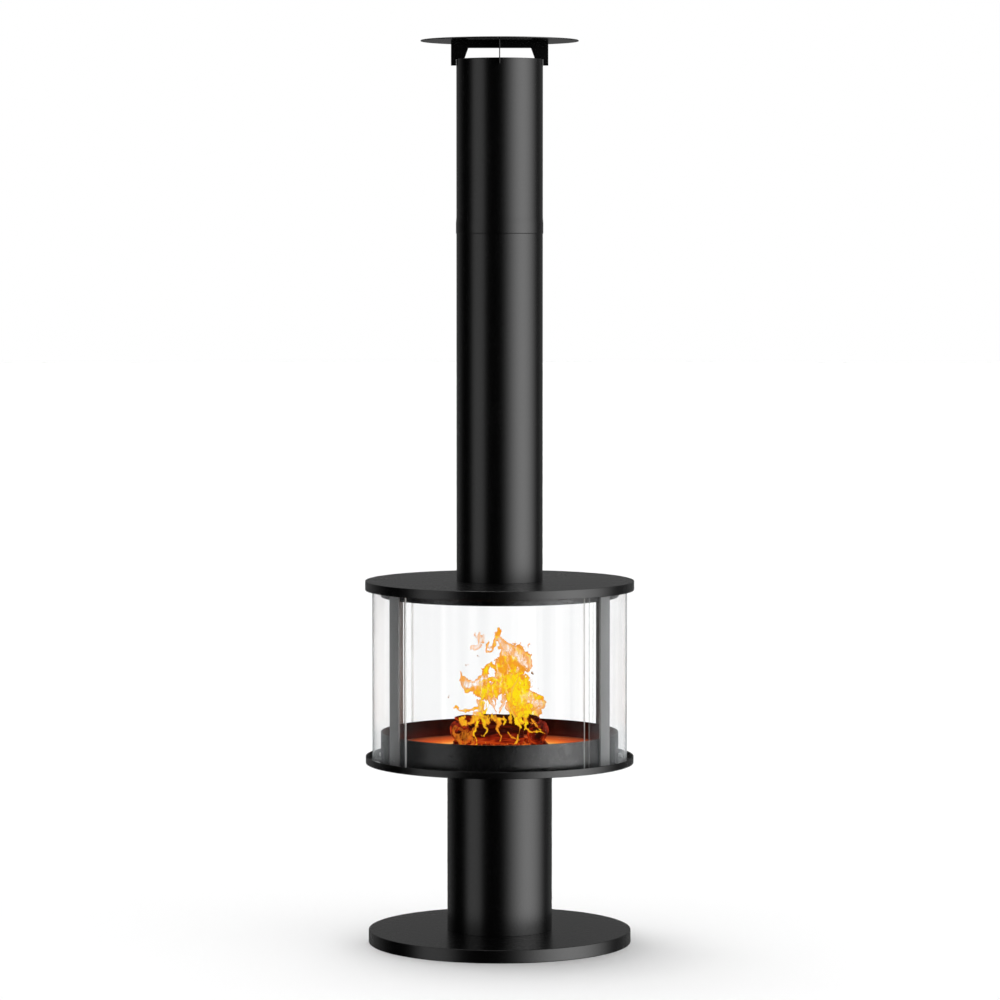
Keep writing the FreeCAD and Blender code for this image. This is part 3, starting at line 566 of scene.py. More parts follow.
# The embers: a low heap of ash and glowing coals, raked over the grate.
# A few hundred broken coals lie on it, hot in the middle and crusted with ash at the rim.
WAVES = 14
HEAP_STEPS = 160
HEAP_RINGS = 40
HEAP_RELIEF = 0.004
COAL_COUNT = 420
COAL_SIZES = (0.004, 0.0095)
COAL_SPREAD = 0.136
COAL_SINK = 0.003
COAL_LUMPS = 0.3
COAL_ROWS = 4
COAL_COLUMNS = 7


def ripples(points, wavelength, seed):
    """Smooth noise from about -1 to 1: a mean of sine waves of one wavelength in random directions."""
    draw = np.random.default_rng(seed)
    ways = draw.normal(size=(WAVES, 3))
    ways *= (2 * math.pi / wavelength) * draw.uniform(0.6, 1.5, (WAVES, 1)) / np.linalg.norm(
        ways, axis=1, keepdims=True)
    return np.sin(points @ ways.T + draw.uniform(0, 2 * math.pi, WAVES)).sum(-1) * math.sqrt(2 / WAVES) / 1.6


def carry(piece, name, values):
    """Stores a value or a vector of each point as an attribute that materials can read."""
    values = np.asarray(values, np.float32)
    kind, field = ("FLOAT", "value") if values.ndim == 1 else ("FLOAT_VECTOR", "vector")
    piece.data.attributes.new(name, kind, "POINT").data.foreach_set(field, values.ravel())


def burning(name, ash, ash_share, cool, hot, bright):
    """Burning fuel: char and ash over a glow that shows through cracks and low down; on the logs the glow is
    partly painted firelight.

    The attribute grain holds the place in the log's own frame and glow its share of fire."""
    tree = Tree(bpy.data.materials.new(name))
    grain = tree.node("ShaderNodeAttribute", {"attribute_name": "grain"}, output=1)
    glow = tree.node("ShaderNodeAttribute", {"attribute_name": "glow"}, output=2)
    fine = tree.noise(grain, 150, 4.0, 0.6)
    coarse = tree.noise(grain, 38, 3.0, 0.55)
    crack = tree.node("ShaderNodeTexVoronoi", {"feature": "DISTANCE_TO_EDGE"}, {
        "Vector": grain, "Scale": 70.0, "Randomness": 1.0})
    crack = 1 - crack.ramp(0.0, 0.22)
    fire = glow * (coarse.ramp(0.36, 0.62) * 0.70 + 0.34) + crack * glow * 0.3 + (fine - 0.5) * 0.5 * glow
    colour = tree.node("ShaderNodeValToRGB", {"stops": [
        (0.0, (0, 0, 0, 1)), (0.3, cool), (0.68, hot), (1.0, bright)]}, {"Fac": fire})
    return tree.principled({
        "Base Color": tree.blend(fine.ramp(0.5, 0.75) * ash_share, (0.008, 0.004, 0.003, 1), ash),
        "Roughness": 0.85 + (fine - 0.5) * 0.2,
        "Specular IOR Level": 0.1,
        "Emission Color": colour,
        "Emission Strength": 1.0,
        "Normal": tree.bump(fine + coarse, 0.0012)})


ember_glow = burning("glowing_embers", (0.20, 0.15, 0.12, 1), 0.4, (0.07, 0.003, 0.001, 1),
                     (0.34, 0.024, 0.004, 1), (0.80, 0.17, 0.02, 1))
_, heap_radius, heap_foot, heap_top = reach("ember_bed")
share = np.linspace(0, 1, HEAP_RINGS)[:, None]
angle = np.linspace(0, 2 * math.pi, HEAP_STEPS, endpoint=False)[None]
heap_r = np.minimum(share * 1.06, 1) * heap_radius * (0.90 + 0.10 * share)
heap_z = heap_top - (heap_top - heap_foot) * np.clip((share - 0.86) / 0.14, 0, 1) ** 1.5
heap = np.stack([heap_r * np.cos(angle), heap_r * np.sin(angle), heap_z + angle * 0], -1)
lift = 0.5 + 0.5 * ripples(heap, 0.028, 3)
heap[..., 2] -= HEAP_RELIEF * lift * (share < 1) * (share > 0)
heap_points = np.concatenate([heap[1:].reshape(-1, 3), [[0, 0, heap_top], [0, 0, heap_foot]]])
ring_points = (HEAP_RINGS - 1) * HEAP_STEPS
here = np.arange(HEAP_STEPS)
embers = add_mesh("ember_heap", heap_points, [
    grid_faces(HEAP_RINGS - 1, HEAP_STEPS, False, True), fan(ring_points, here),
    fan(ring_points + 1, ring_points - HEAP_STEPS + here)[:, ::-1]])
heap_reach = np.hypot(heap_points[:, 0], heap_points[:, 1]) / heap_radius
carry(embers, "grain", heap_points)
carry(embers, "glow", np.clip(1.05 - heap_reach ** 3 * 0.9, 0, 1))
seat(embers, ember_glow, "fire_grate", "embers", "ember_bed")


def coal_shape(rows, columns):
    """A small ball of rows of points between two poles, with its faces turned outwards."""
    down = np.linspace(0, math.pi, rows + 2)[1:-1][:, None]
    round_it = np.linspace(0, 2 * math.pi, columns, endpoint=False)[None]
    ball = np.stack([np.sin(down) * np.cos(round_it), np.sin(down) * np.sin(round_it),
                     np.cos(down) + round_it * 0], -1).reshape(-1, 3)
    here = np.arange(columns)
    last = (rows - 1) * columns
    caps = np.concatenate([fan(len(ball), here), fan(len(ball) + 1, last + here)[:, ::-1]])
    return np.concatenate([ball, [[0, 0, 1], [0, 0, -1]]]), grid_faces(rows, columns, False, True), caps


def scatter(name, places, sizes, seed):
    """Joins one small broken shape for each place, each turned, stretched and dented by chance.

    A coal's points are those of the ball, scaled along three axes, turned about a random
    axis and moved to its place."""
    draw = np.random.default_rng(seed)
    ball, squares, caps = coal_shape(COAL_ROWS, COAL_COLUMNS)
    count = len(places)
    stretch = draw.uniform(0.55, 1.0, (count, 1, 3)) * np.asarray(sizes)[:, None, None]
    dents = 1 + COAL_LUMPS * draw.uniform(-1, 0.6, (count, len(ball), 1))
    quarter = draw.normal(size=(count, 4))
    quarter /= np.linalg.norm(quarter, axis=1, keepdims=True)
    w, v = quarter[:, None, :1], quarter[:, None, 1:]
    shape = ball[None] * dents * stretch
    shape = shape + 2 * np.cross(v, np.cross(v, shape) + w * shape)
    points = (shape + np.asarray(places)[:, None]).reshape(-1, 3)
    step = (np.arange(count) * len(ball))[:, None, None]
    return add_mesh(name, points, [(squares + step).reshape(-1, 4), (caps + step).reshape(-1, 3)])


draw = np.random.default_rng(11)
coal_angle = draw.uniform(0, 2 * math.pi, COAL_COUNT)
coal_reach = COAL_SPREAD * np.sqrt(draw.uniform(0, 1, COAL_COUNT))
coal_sizes = draw.uniform(*COAL_SIZES, COAL_COUNT)
coal_places = np.stack([coal_reach * np.cos(coal_angle), coal_reach * np.sin(coal_angle),
                        heap_top - COAL_SINK + coal_sizes * 0.35], -1)
coals = scatter("ember_coals", coal_places, coal_sizes, 12)
coal_points = points_of(coals)
carry(coals, "grain", coal_points)
coal_glow = np.clip(draw.normal(0.75, 0.3, COAL_COUNT), 0.1, 1.1)
coal_glow = coal_glow * (1 - 0.5 * (coal_reach / COAL_SPREAD) ** 4)
carry(coals, "glow", np.repeat(coal_glow, len(coal_points) // COAL_COUNT))
seat(coals, ember_glow, "fire_grate", "embers")

# The logs: split firewood with its bark, stacked on the embers and burning.
# The undersides and ends glow through cracks in the char, and ash whitens the edges. The glow is partly
# the wood's own and partly painted firelight from the embers and flames.
LOG_AROUND = 144
LOG_ALONG = 90
LOG_END_RINGS = 14
LOG_RELIEF = 0.11
LOG_TAPER = 0.05
LOG_END_INSET = 0.0022
LOG_END_SAG = 0.0016
LOG_CREASE = 50

burning_wood = burning("burning_wood", (0.07, 0.035, 0.025, 1), 0.2, (0.035, 0.0012, 0.0005, 1),
                       (0.25, 0.013, 0.0028, 1), (0.50, 0.050, 0.006, 1))


def firewood(node, seed, glow_top, glow_bottom, burnt):
    """A log on its CAD node's axis: rings of radius R (1 - relief) carried along it, with cut ends.

    The relief is a mean of long ripples, so grooves run with the grain. The end that lies
    further left is thinner by the burnt share. The glow, partly the wood's own and partly painted
    firelight, falls from the log's underside to its top, and on an end it falls from the rim to the heart."""
    points = points_of(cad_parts[node])
    middle = points.mean(0)
    axis = np.linalg.svd(points - middle, full_matrices=False)[2][0]
    axis = axis * np.sign(axis[0])
    along = (points - middle) @ axis
    middle = middle + axis * (along.max() + along.min()) / 2
    half = (along.max() - along.min()) / 2
    across = (points - middle) - ((points - middle) @ axis)[:, None] * axis
    radius = np.linalg.norm(across, axis=1).max()
    flat = np.cross(axis, (0, 0, 1))
    flat /= np.linalg.norm(flat)
    up = np.cross(flat, axis)
    end_share = np.linspace(0, 1, LOG_END_RINGS)[1:]
    at_end = np.ones(LOG_END_RINGS - 1)
    s = np.concatenate([-at_end, np.linspace(-1, 1, LOG_ALONG), at_end])
    inward = np.concatenate([end_share, np.ones(LOG_ALONG), end_share[::-1]])
    turn = np.linspace(0, 2 * math.pi, LOG_AROUND, endpoint=False)
    s, turn = np.meshgrid(s, turn, indexing="ij")
    own = np.stack([np.cos(turn), np.sin(turn), s * half / radius * 0.22], -1) * radius
    grooves = np.abs(ripples(own, 0.016, seed)) * 0.55 + 0.45 * (0.5 + 0.5 * ripples(own, 0.045, seed + 1))
    ring = radius * (1 - LOG_RELIEF * np.clip(grooves, 0, 1.4)) * (1 - LOG_TAPER * (0.5 + 0.5 * s))
    ring = ring * (1 - 0.10 * np.clip((np.abs(s) - 0.965) / 0.035, 0, 1) ** 2)
    ring = ring * (1 - burnt * np.clip((-0.25 - s) / 0.75, 0, 1) ** 1.5)
    ring = ring * inward[:, None]
    end_face = np.stack([ring * np.cos(turn), ring * np.sin(turn), turn * 0], -1)
    sag = LOG_END_SAG * ripples(end_face, 0.02, seed + 2) * np.sign(s) * (np.abs(s) == 1)
    depth = s * (half - LOG_END_INSET) + sag * (1 - inward[:, None] ** 4)
    local = end_face + depth[..., None] * (0, 0, 1)
    body = middle + local[..., :1] * flat + local[..., 1:2] * up + local[..., 2:] * axis
    tips = middle + np.array([[-1], [1]]) * axis * (half - LOG_END_INSET)
    here, last, count = np.arange(LOG_AROUND), (len(s) - 1) * LOG_AROUND, len(s) * LOG_AROUND
    piece = add_mesh(f"burning_{node}", np.concatenate([body.reshape(-1, 3), tips]), [
        grid_faces(len(s), LOG_AROUND, False, True)[:, ::-1],
        fan(count, here)[:, ::-1], fan(count + 1, last + here)])
    own = np.concatenate([local.reshape(-1, 3), [[0, 0, -half], [0, 0, half]]])
    carry(piece, "grain", own * (1, 1, 0.3) + seed)
    height = np.concatenate([(ring * np.sin(turn)).ravel() / radius, [0, 0]])
    end = 1 - np.concatenate([np.repeat(inward, LOG_AROUND), [0, 0]])
    # Painted firelight together with the wood's own glow: brightest on the underside, over the embers.
    glow = glow_bottom + (glow_top - glow_bottom) * (0.5 + 0.5 * height)
    rings = 0.5 + 0.5 * np.cos(end * 30 + 1.2 * ripples(own, 0.02, seed + 3))
    rim_light = 0.35 * np.exp(-((end - 0.10) / 0.08) ** 2) * (end > 0)
    glow = glow * (1 - 0.45 * np.clip(end * 1.1, 0, 1)) * (1 - 0.5 * rings * (end > 0.03)) + rim_light
    carry(piece, "glow", glow)
    piece.data.set_sharp_from_angle(angle=math.radians(LOG_CREASE))
    seat(piece, burning_wood, "fire_grate", "burning_wood", node)


for number, (node, glow_top, glow_bottom, burnt) in enumerate([
        ("log_front", 0.22, 0.92, 0.0), ("log_back", 0.2, 0.8, 0.2), ("log_left", 0.65, 1.05, 0.1),
        ("log_right", 0.5, 0.9, 0.0), ("log_top", 0.02, 0.5, 0.0), ("branch_right", 0.25, 0.6, 0.0),
        ("branch_left", 0.55, 0.9, 0.72)]):
    firewood(node, 40 + 7 * number, glow_top, glow_bottom, burnt)

# The flames: wavy sheets of fire that rise from the logs and cross each other, so that they stand
# in the round. Dense tongues are yellow and orange, thin veils are clear with a darker rim, and the
# low ones before the logs are redder. A few sparks fly above, and small lamps give the fire's light.
FLAME_CELL = 0.0018
FLAME_WARPS = ((0.060, 0.0045), (0.026, 0.0030), (0.012, 0.0018), (0.006, 0.0008))
FLAME_SWAY = ((0.11, 0.010), (0.04, 0.004))
FLAME_STEPS = 12
FLAME_MARGIN = 0.03
FLAME_REACH = 1.6
FLAME_LEAST_WIDTH = 0.0005
FLAME_LEAD = 7
FLAME_END = -0.35
FLAME_LAYERS = 40
YELLOW = (1.0, 0.75, 0.010, 1)
ORANGE = (0.94, 0.36, 0.022, 1)
PEACH = (0.98, 0.52, 0.22, 1)
PALE_FIRE = (1.0, 0.93, 0.38, 1)
RIM_BROWN = (0.72, 0.25, 0.025, 1)
LOW_HAZE = (0.85, 0.20, 0.020, 1)
LOW_RIM = (0.78, 0.10, 0.010, 1)
FIRE_LIGHT = (1.0, 0.30, 0.07)
# Each tongue: its path of (across, z) and its half widths in mm, its heat and how thin a veil it is.
HIGH_TONGUES = [
    ([(0, 914), (-2, 899), (-8, 884), (-17, 871), (-24, 860)], [5, 8.5, 8.5, 6.5, 5], 0.3, 0.0),
    ([(-20, 868), (-25, 857), (-33, 852), (-39, 861), (-40, 874), (-37, 889)],
     [4, 5, 5, 4.5, 4, 1], 0.25, 0.1),
    ([(-10, 884), (-14, 870), (-26, 866), (-37, 868)], [4, 3, 2, 2], 0.25, 0.5),
    ([(-86, 856), (-74, 858), (-65, 865), (-59, 877), (-54, 889), (-46, 902)],
     [3, 5, 6, 6, 5, 1.5], 0.1, 0.7),
    ([(-58, 878), (-58, 893), (-55, 908)], [5, 4, 1], 0.1, 0.75),
    ([(-60, 882), (-66, 890), (-69, 900)], [4, 4, 1], 0.1, 0.75),
    ([(-6, 895), (8, 883), (32, 867), (58, 852), (76, 840), (84, 826), (84, 808), (80, 790)],
     [3, 4.5, 4.5, 4.5, 6, 8, 8, 2], 0.25, 0.15),
    ([(-2, 884), (14, 862), (36, 844), (60, 828), (76, 812)], [5, 13, 20, 20, 12], 0.25, 0.66),
    ([(-6, 886), (1, 862), (10, 842), (20, 824)], [4, 5, 7, 11], 0.25, 0.2),
    ([(8, 874), (22, 854), (40, 836)], [3, 5, 9], 0.3, 0.2),
    ([(30, 866), (44, 846), (52, 830)], [2, 5, 8], 0.3, 0.25),
    ([(66, 648), (72, 672), (76, 691), (64, 717), (50, 736), (42, 759), (38, 777), (36, 792)],
     [14, 27, 34, 36, 42, 44, 40, 24], 0.8, 0.0),
    ([(36, 786), (38, 798), (40, 811), (42, 830), (36, 846)], [34, 42, 46, 42, 22], 0.28, 0.0),
    ([(34, 690), (26, 712), (14, 735), (6, 756), (2, 775), (2, 788)], [8, 12, 18, 20, 20, 14], 0.66, 0.0),
    ([(2, 782), (4, 795), (8, 812), (14, 830)], [16, 22, 22, 12], 0.35, 0.0),
    ([(-36, 752), (-46, 764), (-48, 780), (-43, 797), (-32, 808), (-19, 803), (-11, 790), (-4, 772)],
     [8, 9, 8, 8, 8, 9, 10, 14], 0.55, 0.0),
    ([(-54, 756), (-36, 760), (-18, 762), (0, 760)], [7, 10, 10, 12], 0.75, 0.0),
    ([(-113, 782), (-102, 769), (-82, 765), (-60, 768), (-44, 772)], [4, 6, 5, 6, 7], 0.2, 0.1),
    ([(-112, 780), (-106, 762), (-101, 746), (-97, 729)], [4, 6, 6, 4], 0.2, 0.1),
    ([(-100, 733), (-86, 738), (-74, 745), (-60, 749), (-46, 750)], [7, 8, 9, 10, 10], 0.4, 0.05),
    ([(-106, 764), (-86, 755), (-66, 758), (-46, 764)], [8, 14, 15, 12], 0.1, 0.93),
    ([(-74, 742), (-60, 735), (-42, 730), (-24, 733), (-4, 741), (14, 746)],
     [6, 17, 22, 22, 18, 14], 0.5, 0.0),
    ([(-30, 720), (-22, 702), (-14, 686), (-7, 666)], [6, 5, 4, 2], 0.1, 0.3),
    ([(-58, 704), (-55, 690), (-49, 668)], [5, 5, 4], 0.1, 0.45),
    ([(-18, 720), (-12, 704), (-17, 690), (-10, 672)], [4, 4, 4, 2], 0.1, 0.4),
    ([(4, 716), (10, 698), (6, 684), (3, 672)], [5, 6, 5, 2], 0.1, 0.3),
    ([(20, 728), (28, 708), (26, 690), (32, 672)], [8, 8, 7, 6], 0.2, 0.25),
    ([(84, 726), (104, 717), (122, 706), (137, 698)], [14, 12, 8, 3], 0.45, 0.0),
    ([(136, 699), (124, 688), (112, 676), (104, 660), (98, 646)], [3, 9, 12, 12, 6], 0.3, 0.15),
    ([(72, 708), (98, 700), (120, 697)], [20, 18, 8], 0.4, 0.3),
    ([(-128, 695), (-125, 690), (-117, 684), (-107, 677), (-95, 672), (-80, 671), (-66, 674), (-54, 678)],
     [3.5, 5, 4, 3.6, 3.8, 4.5, 6, 8], 0.45, 0.0),
]
LOW_TONGUES = [
    ([(-88, 652), (-74, 666), (-60, 672), (-46, 667), (-34, 655)], [9, 11, 12, 11, 8], 0.4, 0.1),
    ([(-60, 678), (-50, 660), (-42, 645), (-34, 632), (-43, 618), (-55, 611)],
     [9, 7, 5, 4, 3, 1.5], 0.5, 0.1),
    ([(-70, 668), (-69, 650), (-68, 632), (-76, 614), (-70, 596), (-73, 578)],
     [8, 7, 6, 4, 3, 3], 0.6, 0.0),
    ([(-64, 642), (-80, 624), (-92, 606), (-102, 600)], [4, 5, 7, 3], 0.1, 0.75),
    ([(-92, 612), (-84, 598), (-86, 586)], [7, 6, 3], 0.05, 0.85),
    ([(-130, 616), (-127, 632), (-119, 643), (-111, 640), (-106, 628)], [3, 6, 7, 7, 5], 0.05, 0.8),
    ([(-126, 612), (-114, 606), (-100, 614), (-90, 630)], [5, 8, 8, 5], 0.05, 0.88),
    ([(-116, 600), (-104, 591), (-92, 600)], [4, 6, 5], 0.05, 0.85),
    ([(-98, 650), (-106, 661), (-101, 670)], [7, 6, 2], 0.4, 0.0),
    ([(-26, 668), (-14, 663), (4, 666), (20, 662)], [7, 9, 8, 5], 0.45, 0.0),
    ([(-8, 664), (-2, 648), (-8, 630), (0, 616), (-4, 604)], [11, 9, 5, 4, 2], 0.15, 0.1),
    ([(12, 650), (15, 662), (13, 676)], [5, 5, 1.5], 0.6, 0.1),
    ([(30, 654), (31, 666), (28, 680)], [6, 5, 1.5], 0.6, 0.1),
    ([(48, 664), (56, 650), (61, 637)], [9, 8, 3], 0.7, 0.05),
    ([(84, 700), (79, 668), (76, 644), (72, 630)], [14, 10, 6, 2], 0.7, 0.05),
    ([(74, 640), (88, 634), (102, 630), (119, 625)], [5, 5, 4, 2], 0.5, 0.1),
    ([(96, 658), (106, 646), (113, 633)], [5, 4, 2], 0.4, 0.1),
    ([(26, 618), (34, 612), (48, 608), (58, 604)], [3.5, 2.5, 2.5, 1], 0.2, 0.3),
]


def flowing(points, rows):
    """A smooth curve through points: each step is a cubic that leaves a point along its neighbours."""
    points = np.asarray(points, float)
    padded = np.concatenate([2 * points[:1] - points[1:2], points, 2 * points[-1:] - points[-2:-1]])
    place = np.linspace(0, len(points) - 1, rows)
    step = np.minimum(place.astype(int), len(points) - 2)
    t = (place - step)[:, None]
    a, b, c, d = (padded[step + k] for k in range(4))
    bend, twist = 2 * a - 5 * b + 4 * c - d, 3 * b - a - 3 * c + d
    return 0.5 * (2 * b + (c - a) * t + bend * t ** 2 + twist * t ** 3)


def fire_sheet(name, tongues, centre, yaw, seed, fire):
    """A wavy sheet of fire: a fine grid over the tongues, kept only where they reach.

    A grid point is (a, z) on an upright plane turned by the yaw, and ripples move it square to
    the plane. Its body is the most that any tongue gives there, 1 - distance / half width, at a
    place that ripples have warped. Heat and veil are the tongues' own, weighed by their bodies."""
    curves = []
    for path, widths, heat, veil in tongues:
        steps = FLAME_STEPS * len(path)
        line, width = flowing(path, steps) / 1000, flowing(np.array(widths)[:, None], steps)[:, 0] / 1000
        curves.append((line, width, heat, veil))
    corner = np.min([curve[0].min(0) for curve in curves], 0) - FLAME_MARGIN
    far = np.max([curve[0].max(0) for curve in curves], 0) + FLAME_MARGIN
    columns, rows = ((far - corner) / FLAME_CELL).astype(int)
    a, z = np.meshgrid(np.arange(columns), np.arange(rows), indexing="ij")
    a, z = corner[0] + FLAME_CELL * a, corner[1] + FLAME_CELL * z
    flat = np.stack([a, z * 0.7, a * 0 + seed], -1).reshape(-1, 3)
    place = np.stack([a, z], -1).reshape(-1, 2)
    for number, (wave, by) in enumerate(FLAME_WARPS, seed):
        place = place + by * np.stack([ripples(flat, wave, number), ripples(flat, wave, number + 50)], -1)
    body = np.full(len(place), -1.0)
    total, hot, thin = np.full(len(place), 1e-9), np.zeros(len(place)), np.zeros(len(place))
    for line, width, heat, veil in curves:
        margin = width.max() * FLAME_REACH
        near = ((place > line.min(0) - margin) & (place < line.max(0) + margin)).all(1)
        gap = np.linalg.norm(place[near][:, None] - line, axis=2) / np.maximum(width, FLAME_LEAST_WIDTH)
        share = 1 - gap.min(1)
        weight = np.exp(FLAME_LEAD * share)
        body[near] = np.maximum(body[near], share)
        total[near] += weight
        hot[near] += weight * heat
        thin[near] += weight * veil
    wave = sum(by * ripples(flat, length, seed + 90) for length, by in FLAME_SWAY)
    across, square = np.array([[math.cos(yaw), math.sin(yaw), 0], [math.sin(yaw), -math.cos(yaw), 0]])
    points = flat[:, :1] * across + wave[:, None] * square + (*centre, 0) + z.reshape(-1, 1) * (0, 0, 1)
    faces = grid_faces(columns, rows, False, False)
    faces = faces[(body[faces] > FLAME_END).any(1)]
    used, faces = np.unique(faces, return_inverse=True)
    piece = add_mesh(name, points[used], [faces.reshape(-1, 4)])
    carry(piece, "fire", np.stack([body, hot / total, thin / total], -1)[used])
    piece.visible_shadow = False
    seat(piece, fire, "fire_grate", "embers")


def flame_fire(name, haze, rim_colour, softness):
    """Fire seen against the light: its colour is written as it looks.

    Its alpha falls to nothing at ragged rims, over that share of a tongue's half width."""
    tree = Tree(bpy.data.materials.new(name))
    tree.owner.cycles.emission_sampling = "NONE"
    fire = tree.node("ShaderNodeAttribute", {"attribute_name": "fire"}, output=1)
    body, heat, veil = (tree.part(fire, axis) for axis in "XYZ")
    here = tree.place(scale=(1, 1, 0.65))
    lick = tree.noise(here, 120, 3.0, 0.55, 0.9)
    curl = tree.noise(here, 46, 3.0, 0.55, 1.4)
    thread = (tree.noise(here, 70, 3.0, 0.55, 2.2) - 0.5).absolute()
    strand = tree.noise(tree.place(scale=(1, 1, 0.35), turn=(0, 0.5, 0)), 80, 2.0, 0.5, 1.2)
    rim = body + (lick - 0.5) * 1.2 + (curl - 0.5) * 1.1
    inside = rim.ramp(0.0, softness)
    deep = rim.ramp(0.06, 0.60)
    core = heat + (curl - 0.5) * 1.8 + (lick - 0.5) * 1.2 + (deep - 1) * 0.5
    core = core - (1 - thread.ramp(0.0, 0.035)) * 0.35
    colour = tree.blend(core.ramp(0.20, 0.80), ORANGE, YELLOW)
    colour = tree.blend(core.ramp(1.05, 1.55) * 0.7, colour, PALE_FIRE)
    colour = tree.blend(veil * deep * 0.85, colour, haze)
    colour = tree.blend((1 - deep) * (1 - heat * 0.8) * 0.75, colour, rim_colour)
    gaps = strand.ramp(0.38, 0.58)
    cover = inside * (1 - veil * deep * (0.45 + gaps * 0.53))
    cover = cover * (1 - (1 - heat * 0.8) * strand.ramp(0.50, 0.70) * 0.5 * deep)
    return tree.principled({
        "Base Color": (0, 0, 0, 1), "Roughness": 1.0, "Specular IOR Level": 0.0,
        "Emission Color": colour, "Emission Strength": 1.0, "Alpha": cover})


def rising(seed, count, low, spread, heights, widths):
    """Tongues by chance: each starts on the logs, sways as it rises and ends in a point."""
    draw = np.random.default_rng(seed)
    tongues = []
    for _ in range(count):
        start, top, wide = draw.uniform(-spread, spread), draw.uniform(*heights), draw.uniform(*widths)
        share = np.linspace(0, 1, 6)
        swing = draw.uniform(8, 18) * np.sin(share * draw.uniform(3, 6) + draw.uniform(0, 6)) * share
        sway = start * (1 - 0.55 * share) + swing
        swell = wide * np.array([0.9, 1.0, 0.9, 0.65, 0.4, 0.08])
        tongues.append((np.stack([sway, low + (top - low) * share], -1), swell,
                        float(draw.uniform(0.3, 0.9)), float(draw.choice([0, 0, 0, 0.4]))))
    return tongues


high_fire = flame_fire("flame_fire", PEACH, RIM_BROWN, softness=0.14)
low_fire = flame_fire("low_flame_fire", LOW_HAZE, LOW_RIM, softness=0.55)
fire_sheet("flames_high", HIGH_TONGUES, (0, 0.010), 0, 5, high_fire)
fire_sheet("flames_front", LOW_TONGUES, (0, -0.084), 0, 8, low_fire)
for name, tongues, centre, yaw, seed in [
        ("flames_across_right", rising(21, 12, 600, 80, (720, 838), (9, 19)), (0.046, 0.0), 90, 21),
        ("flames_across_left", rising(22, 9, 596, 70, (660, 752), (8, 15)), (-0.044, 0.0), 90, 22),
        ("flames_slant_right", rising(23, 5, 640, 34, (740, 832), (9, 15)), (0.044, 0.03), 50, 23),
        ("flames_slant_left", rising(24, 5, 640, 34, (740, 832), (9, 15)), (0.040, 0.03), -50, 24)]:
    fire_sheet(name, tongues, centre, math.radians(yaw), seed, high_fire)
bpy.context.scene.cycles.transparent_max_bounces = FLAME_LAYERS

# Each spark: its place across and its height in mm, and its size.
SPARKS = [(-64, 838, 2.4), (-60, 836, 1.6), (-98, 811, 3.0), (-92, 812, 1.8), (94, 788, 4.4), (97, 785, 3.2),
          (-149, 717, 2.4), (-147, 722, 1.8), (112, 742, 1.2)]
SPARK_FRONT = 0.01
# Each lamp: its place in mm and its power.
FIRE_LAMPS = [(-110, 10, 598, 0.4), (112, 10, 598, 0.4), (0, 0, 680, 0.4), (0, 110, 598, 0.25)]
FIRE_LAMP_SIZE = 0.04
spark_places = np.array([(x / 1000, -SPARK_FRONT, z / 1000) for x, z, _ in SPARKS])
sparks = scatter("sparks", spark_places, [size / 1000 for _, _, size in SPARKS], 31)
spark_points = points_of(sparks)
carry(sparks, "grain", spark_points)
carry(sparks, "glow", np.full(len(spark_points), 0.5))
spark_fire = burning("spark_cinders", (0.4, 0.3, 0.2, 1), 0.8, (0.20, 0.09, 0.04, 1),
                     (0.55, 0.25, 0.10, 1), (0.9, 0.4, 0.1, 1))
seat(sparks, spark_fire, "fire_grate", "embers")
for number, (x, y, z, power) in enumerate(FIRE_LAMPS):
    lamp = bpy.data.objects.new(f"fire_lamp_{number}", bpy.data.lights.new(f"fire_lamp_{number}", "POINT"))
    lamp.location = (x / 1000, y / 1000, z / 1000)
    lamp.data.energy = power
    lamp.data.color = FIRE_LIGHT
    lamp.data.shadow_soft_size = FIRE_LAMP_SIZE
    lamp.visible_glossy = False
    lamp.visible_transmission = False
    bpy.context.scene.collection.objects.link(lamp)

# The glass: four arrised panes of heat-proof glass tube. The ground edges of the front and rear panes
# are pale with a painted highlight, and those at the sides show a faint line. Each stands in two short
# stainless channels, and two rings under the hood guide its top.
GLASS_TINT = (0.99, 0.99, 0.99, 1)
# The tint of the faint upright stripes of painted reflection.
GLASS_PAINTED_REFLECTION_TINT = (0.945, 0.948, 0.95, 1)
GLASS_FILM = (0.90, 0.94, 0.96, 1)
GLASS_FILM_SHARE = 0.36
GLASS_ARRIS = 0.0007
GLASS_STEPS = 96
GLASS_INDEX = 1.02
GLASS_CREASE = 20
SHOE_EDGE = 0.0003


def clear_glass(name):
    """Glass with hardly a reflection: faint upright stripes of painted reflection in its tint, and a breath
    of dust at a slant.

    The dust's share is (1 - the cosine of the slant) cubed. Light from lamps goes straight through."""
    tree = Tree(bpy.data.materials.new(name))
    painted_reflection_bands = tree.noise(tree.place(scale=(1, 1, 0.02)), 17, 1.0)
    glass = tree.node("ShaderNodeBsdfPrincipled", {}, {
        "Base Color": tree.blend(painted_reflection_bands.ramp(0.47, 0.56), GLASS_TINT, GLASS_PAINTED_REFLECTION_TINT),
        "Roughness": 0.0, "IOR": GLASS_INDEX, "Transmission Weight": 1.0})
    clear = tree.node("ShaderNodeBsdfTransparent", {}, {"Color": GLASS_TINT})
    dust = tree.node("ShaderNodeBsdfDiffuse", {}, {"Color": GLASS_FILM})
    slant = tree.node("ShaderNodeLayerWeight", {}, {"Blend": 0.5}, "Facing")
    dusty = tree.node("ShaderNodeMixShader", {}, {0: slant ** 3 * GLASS_FILM_SHARE, 1: glass, 2: dust})
    return tree.finish(tree.node("ShaderNodeMixShader", {}, {
        0: tree.light_path("Is Shadow Ray"), 1: dusty, 2: clear}))


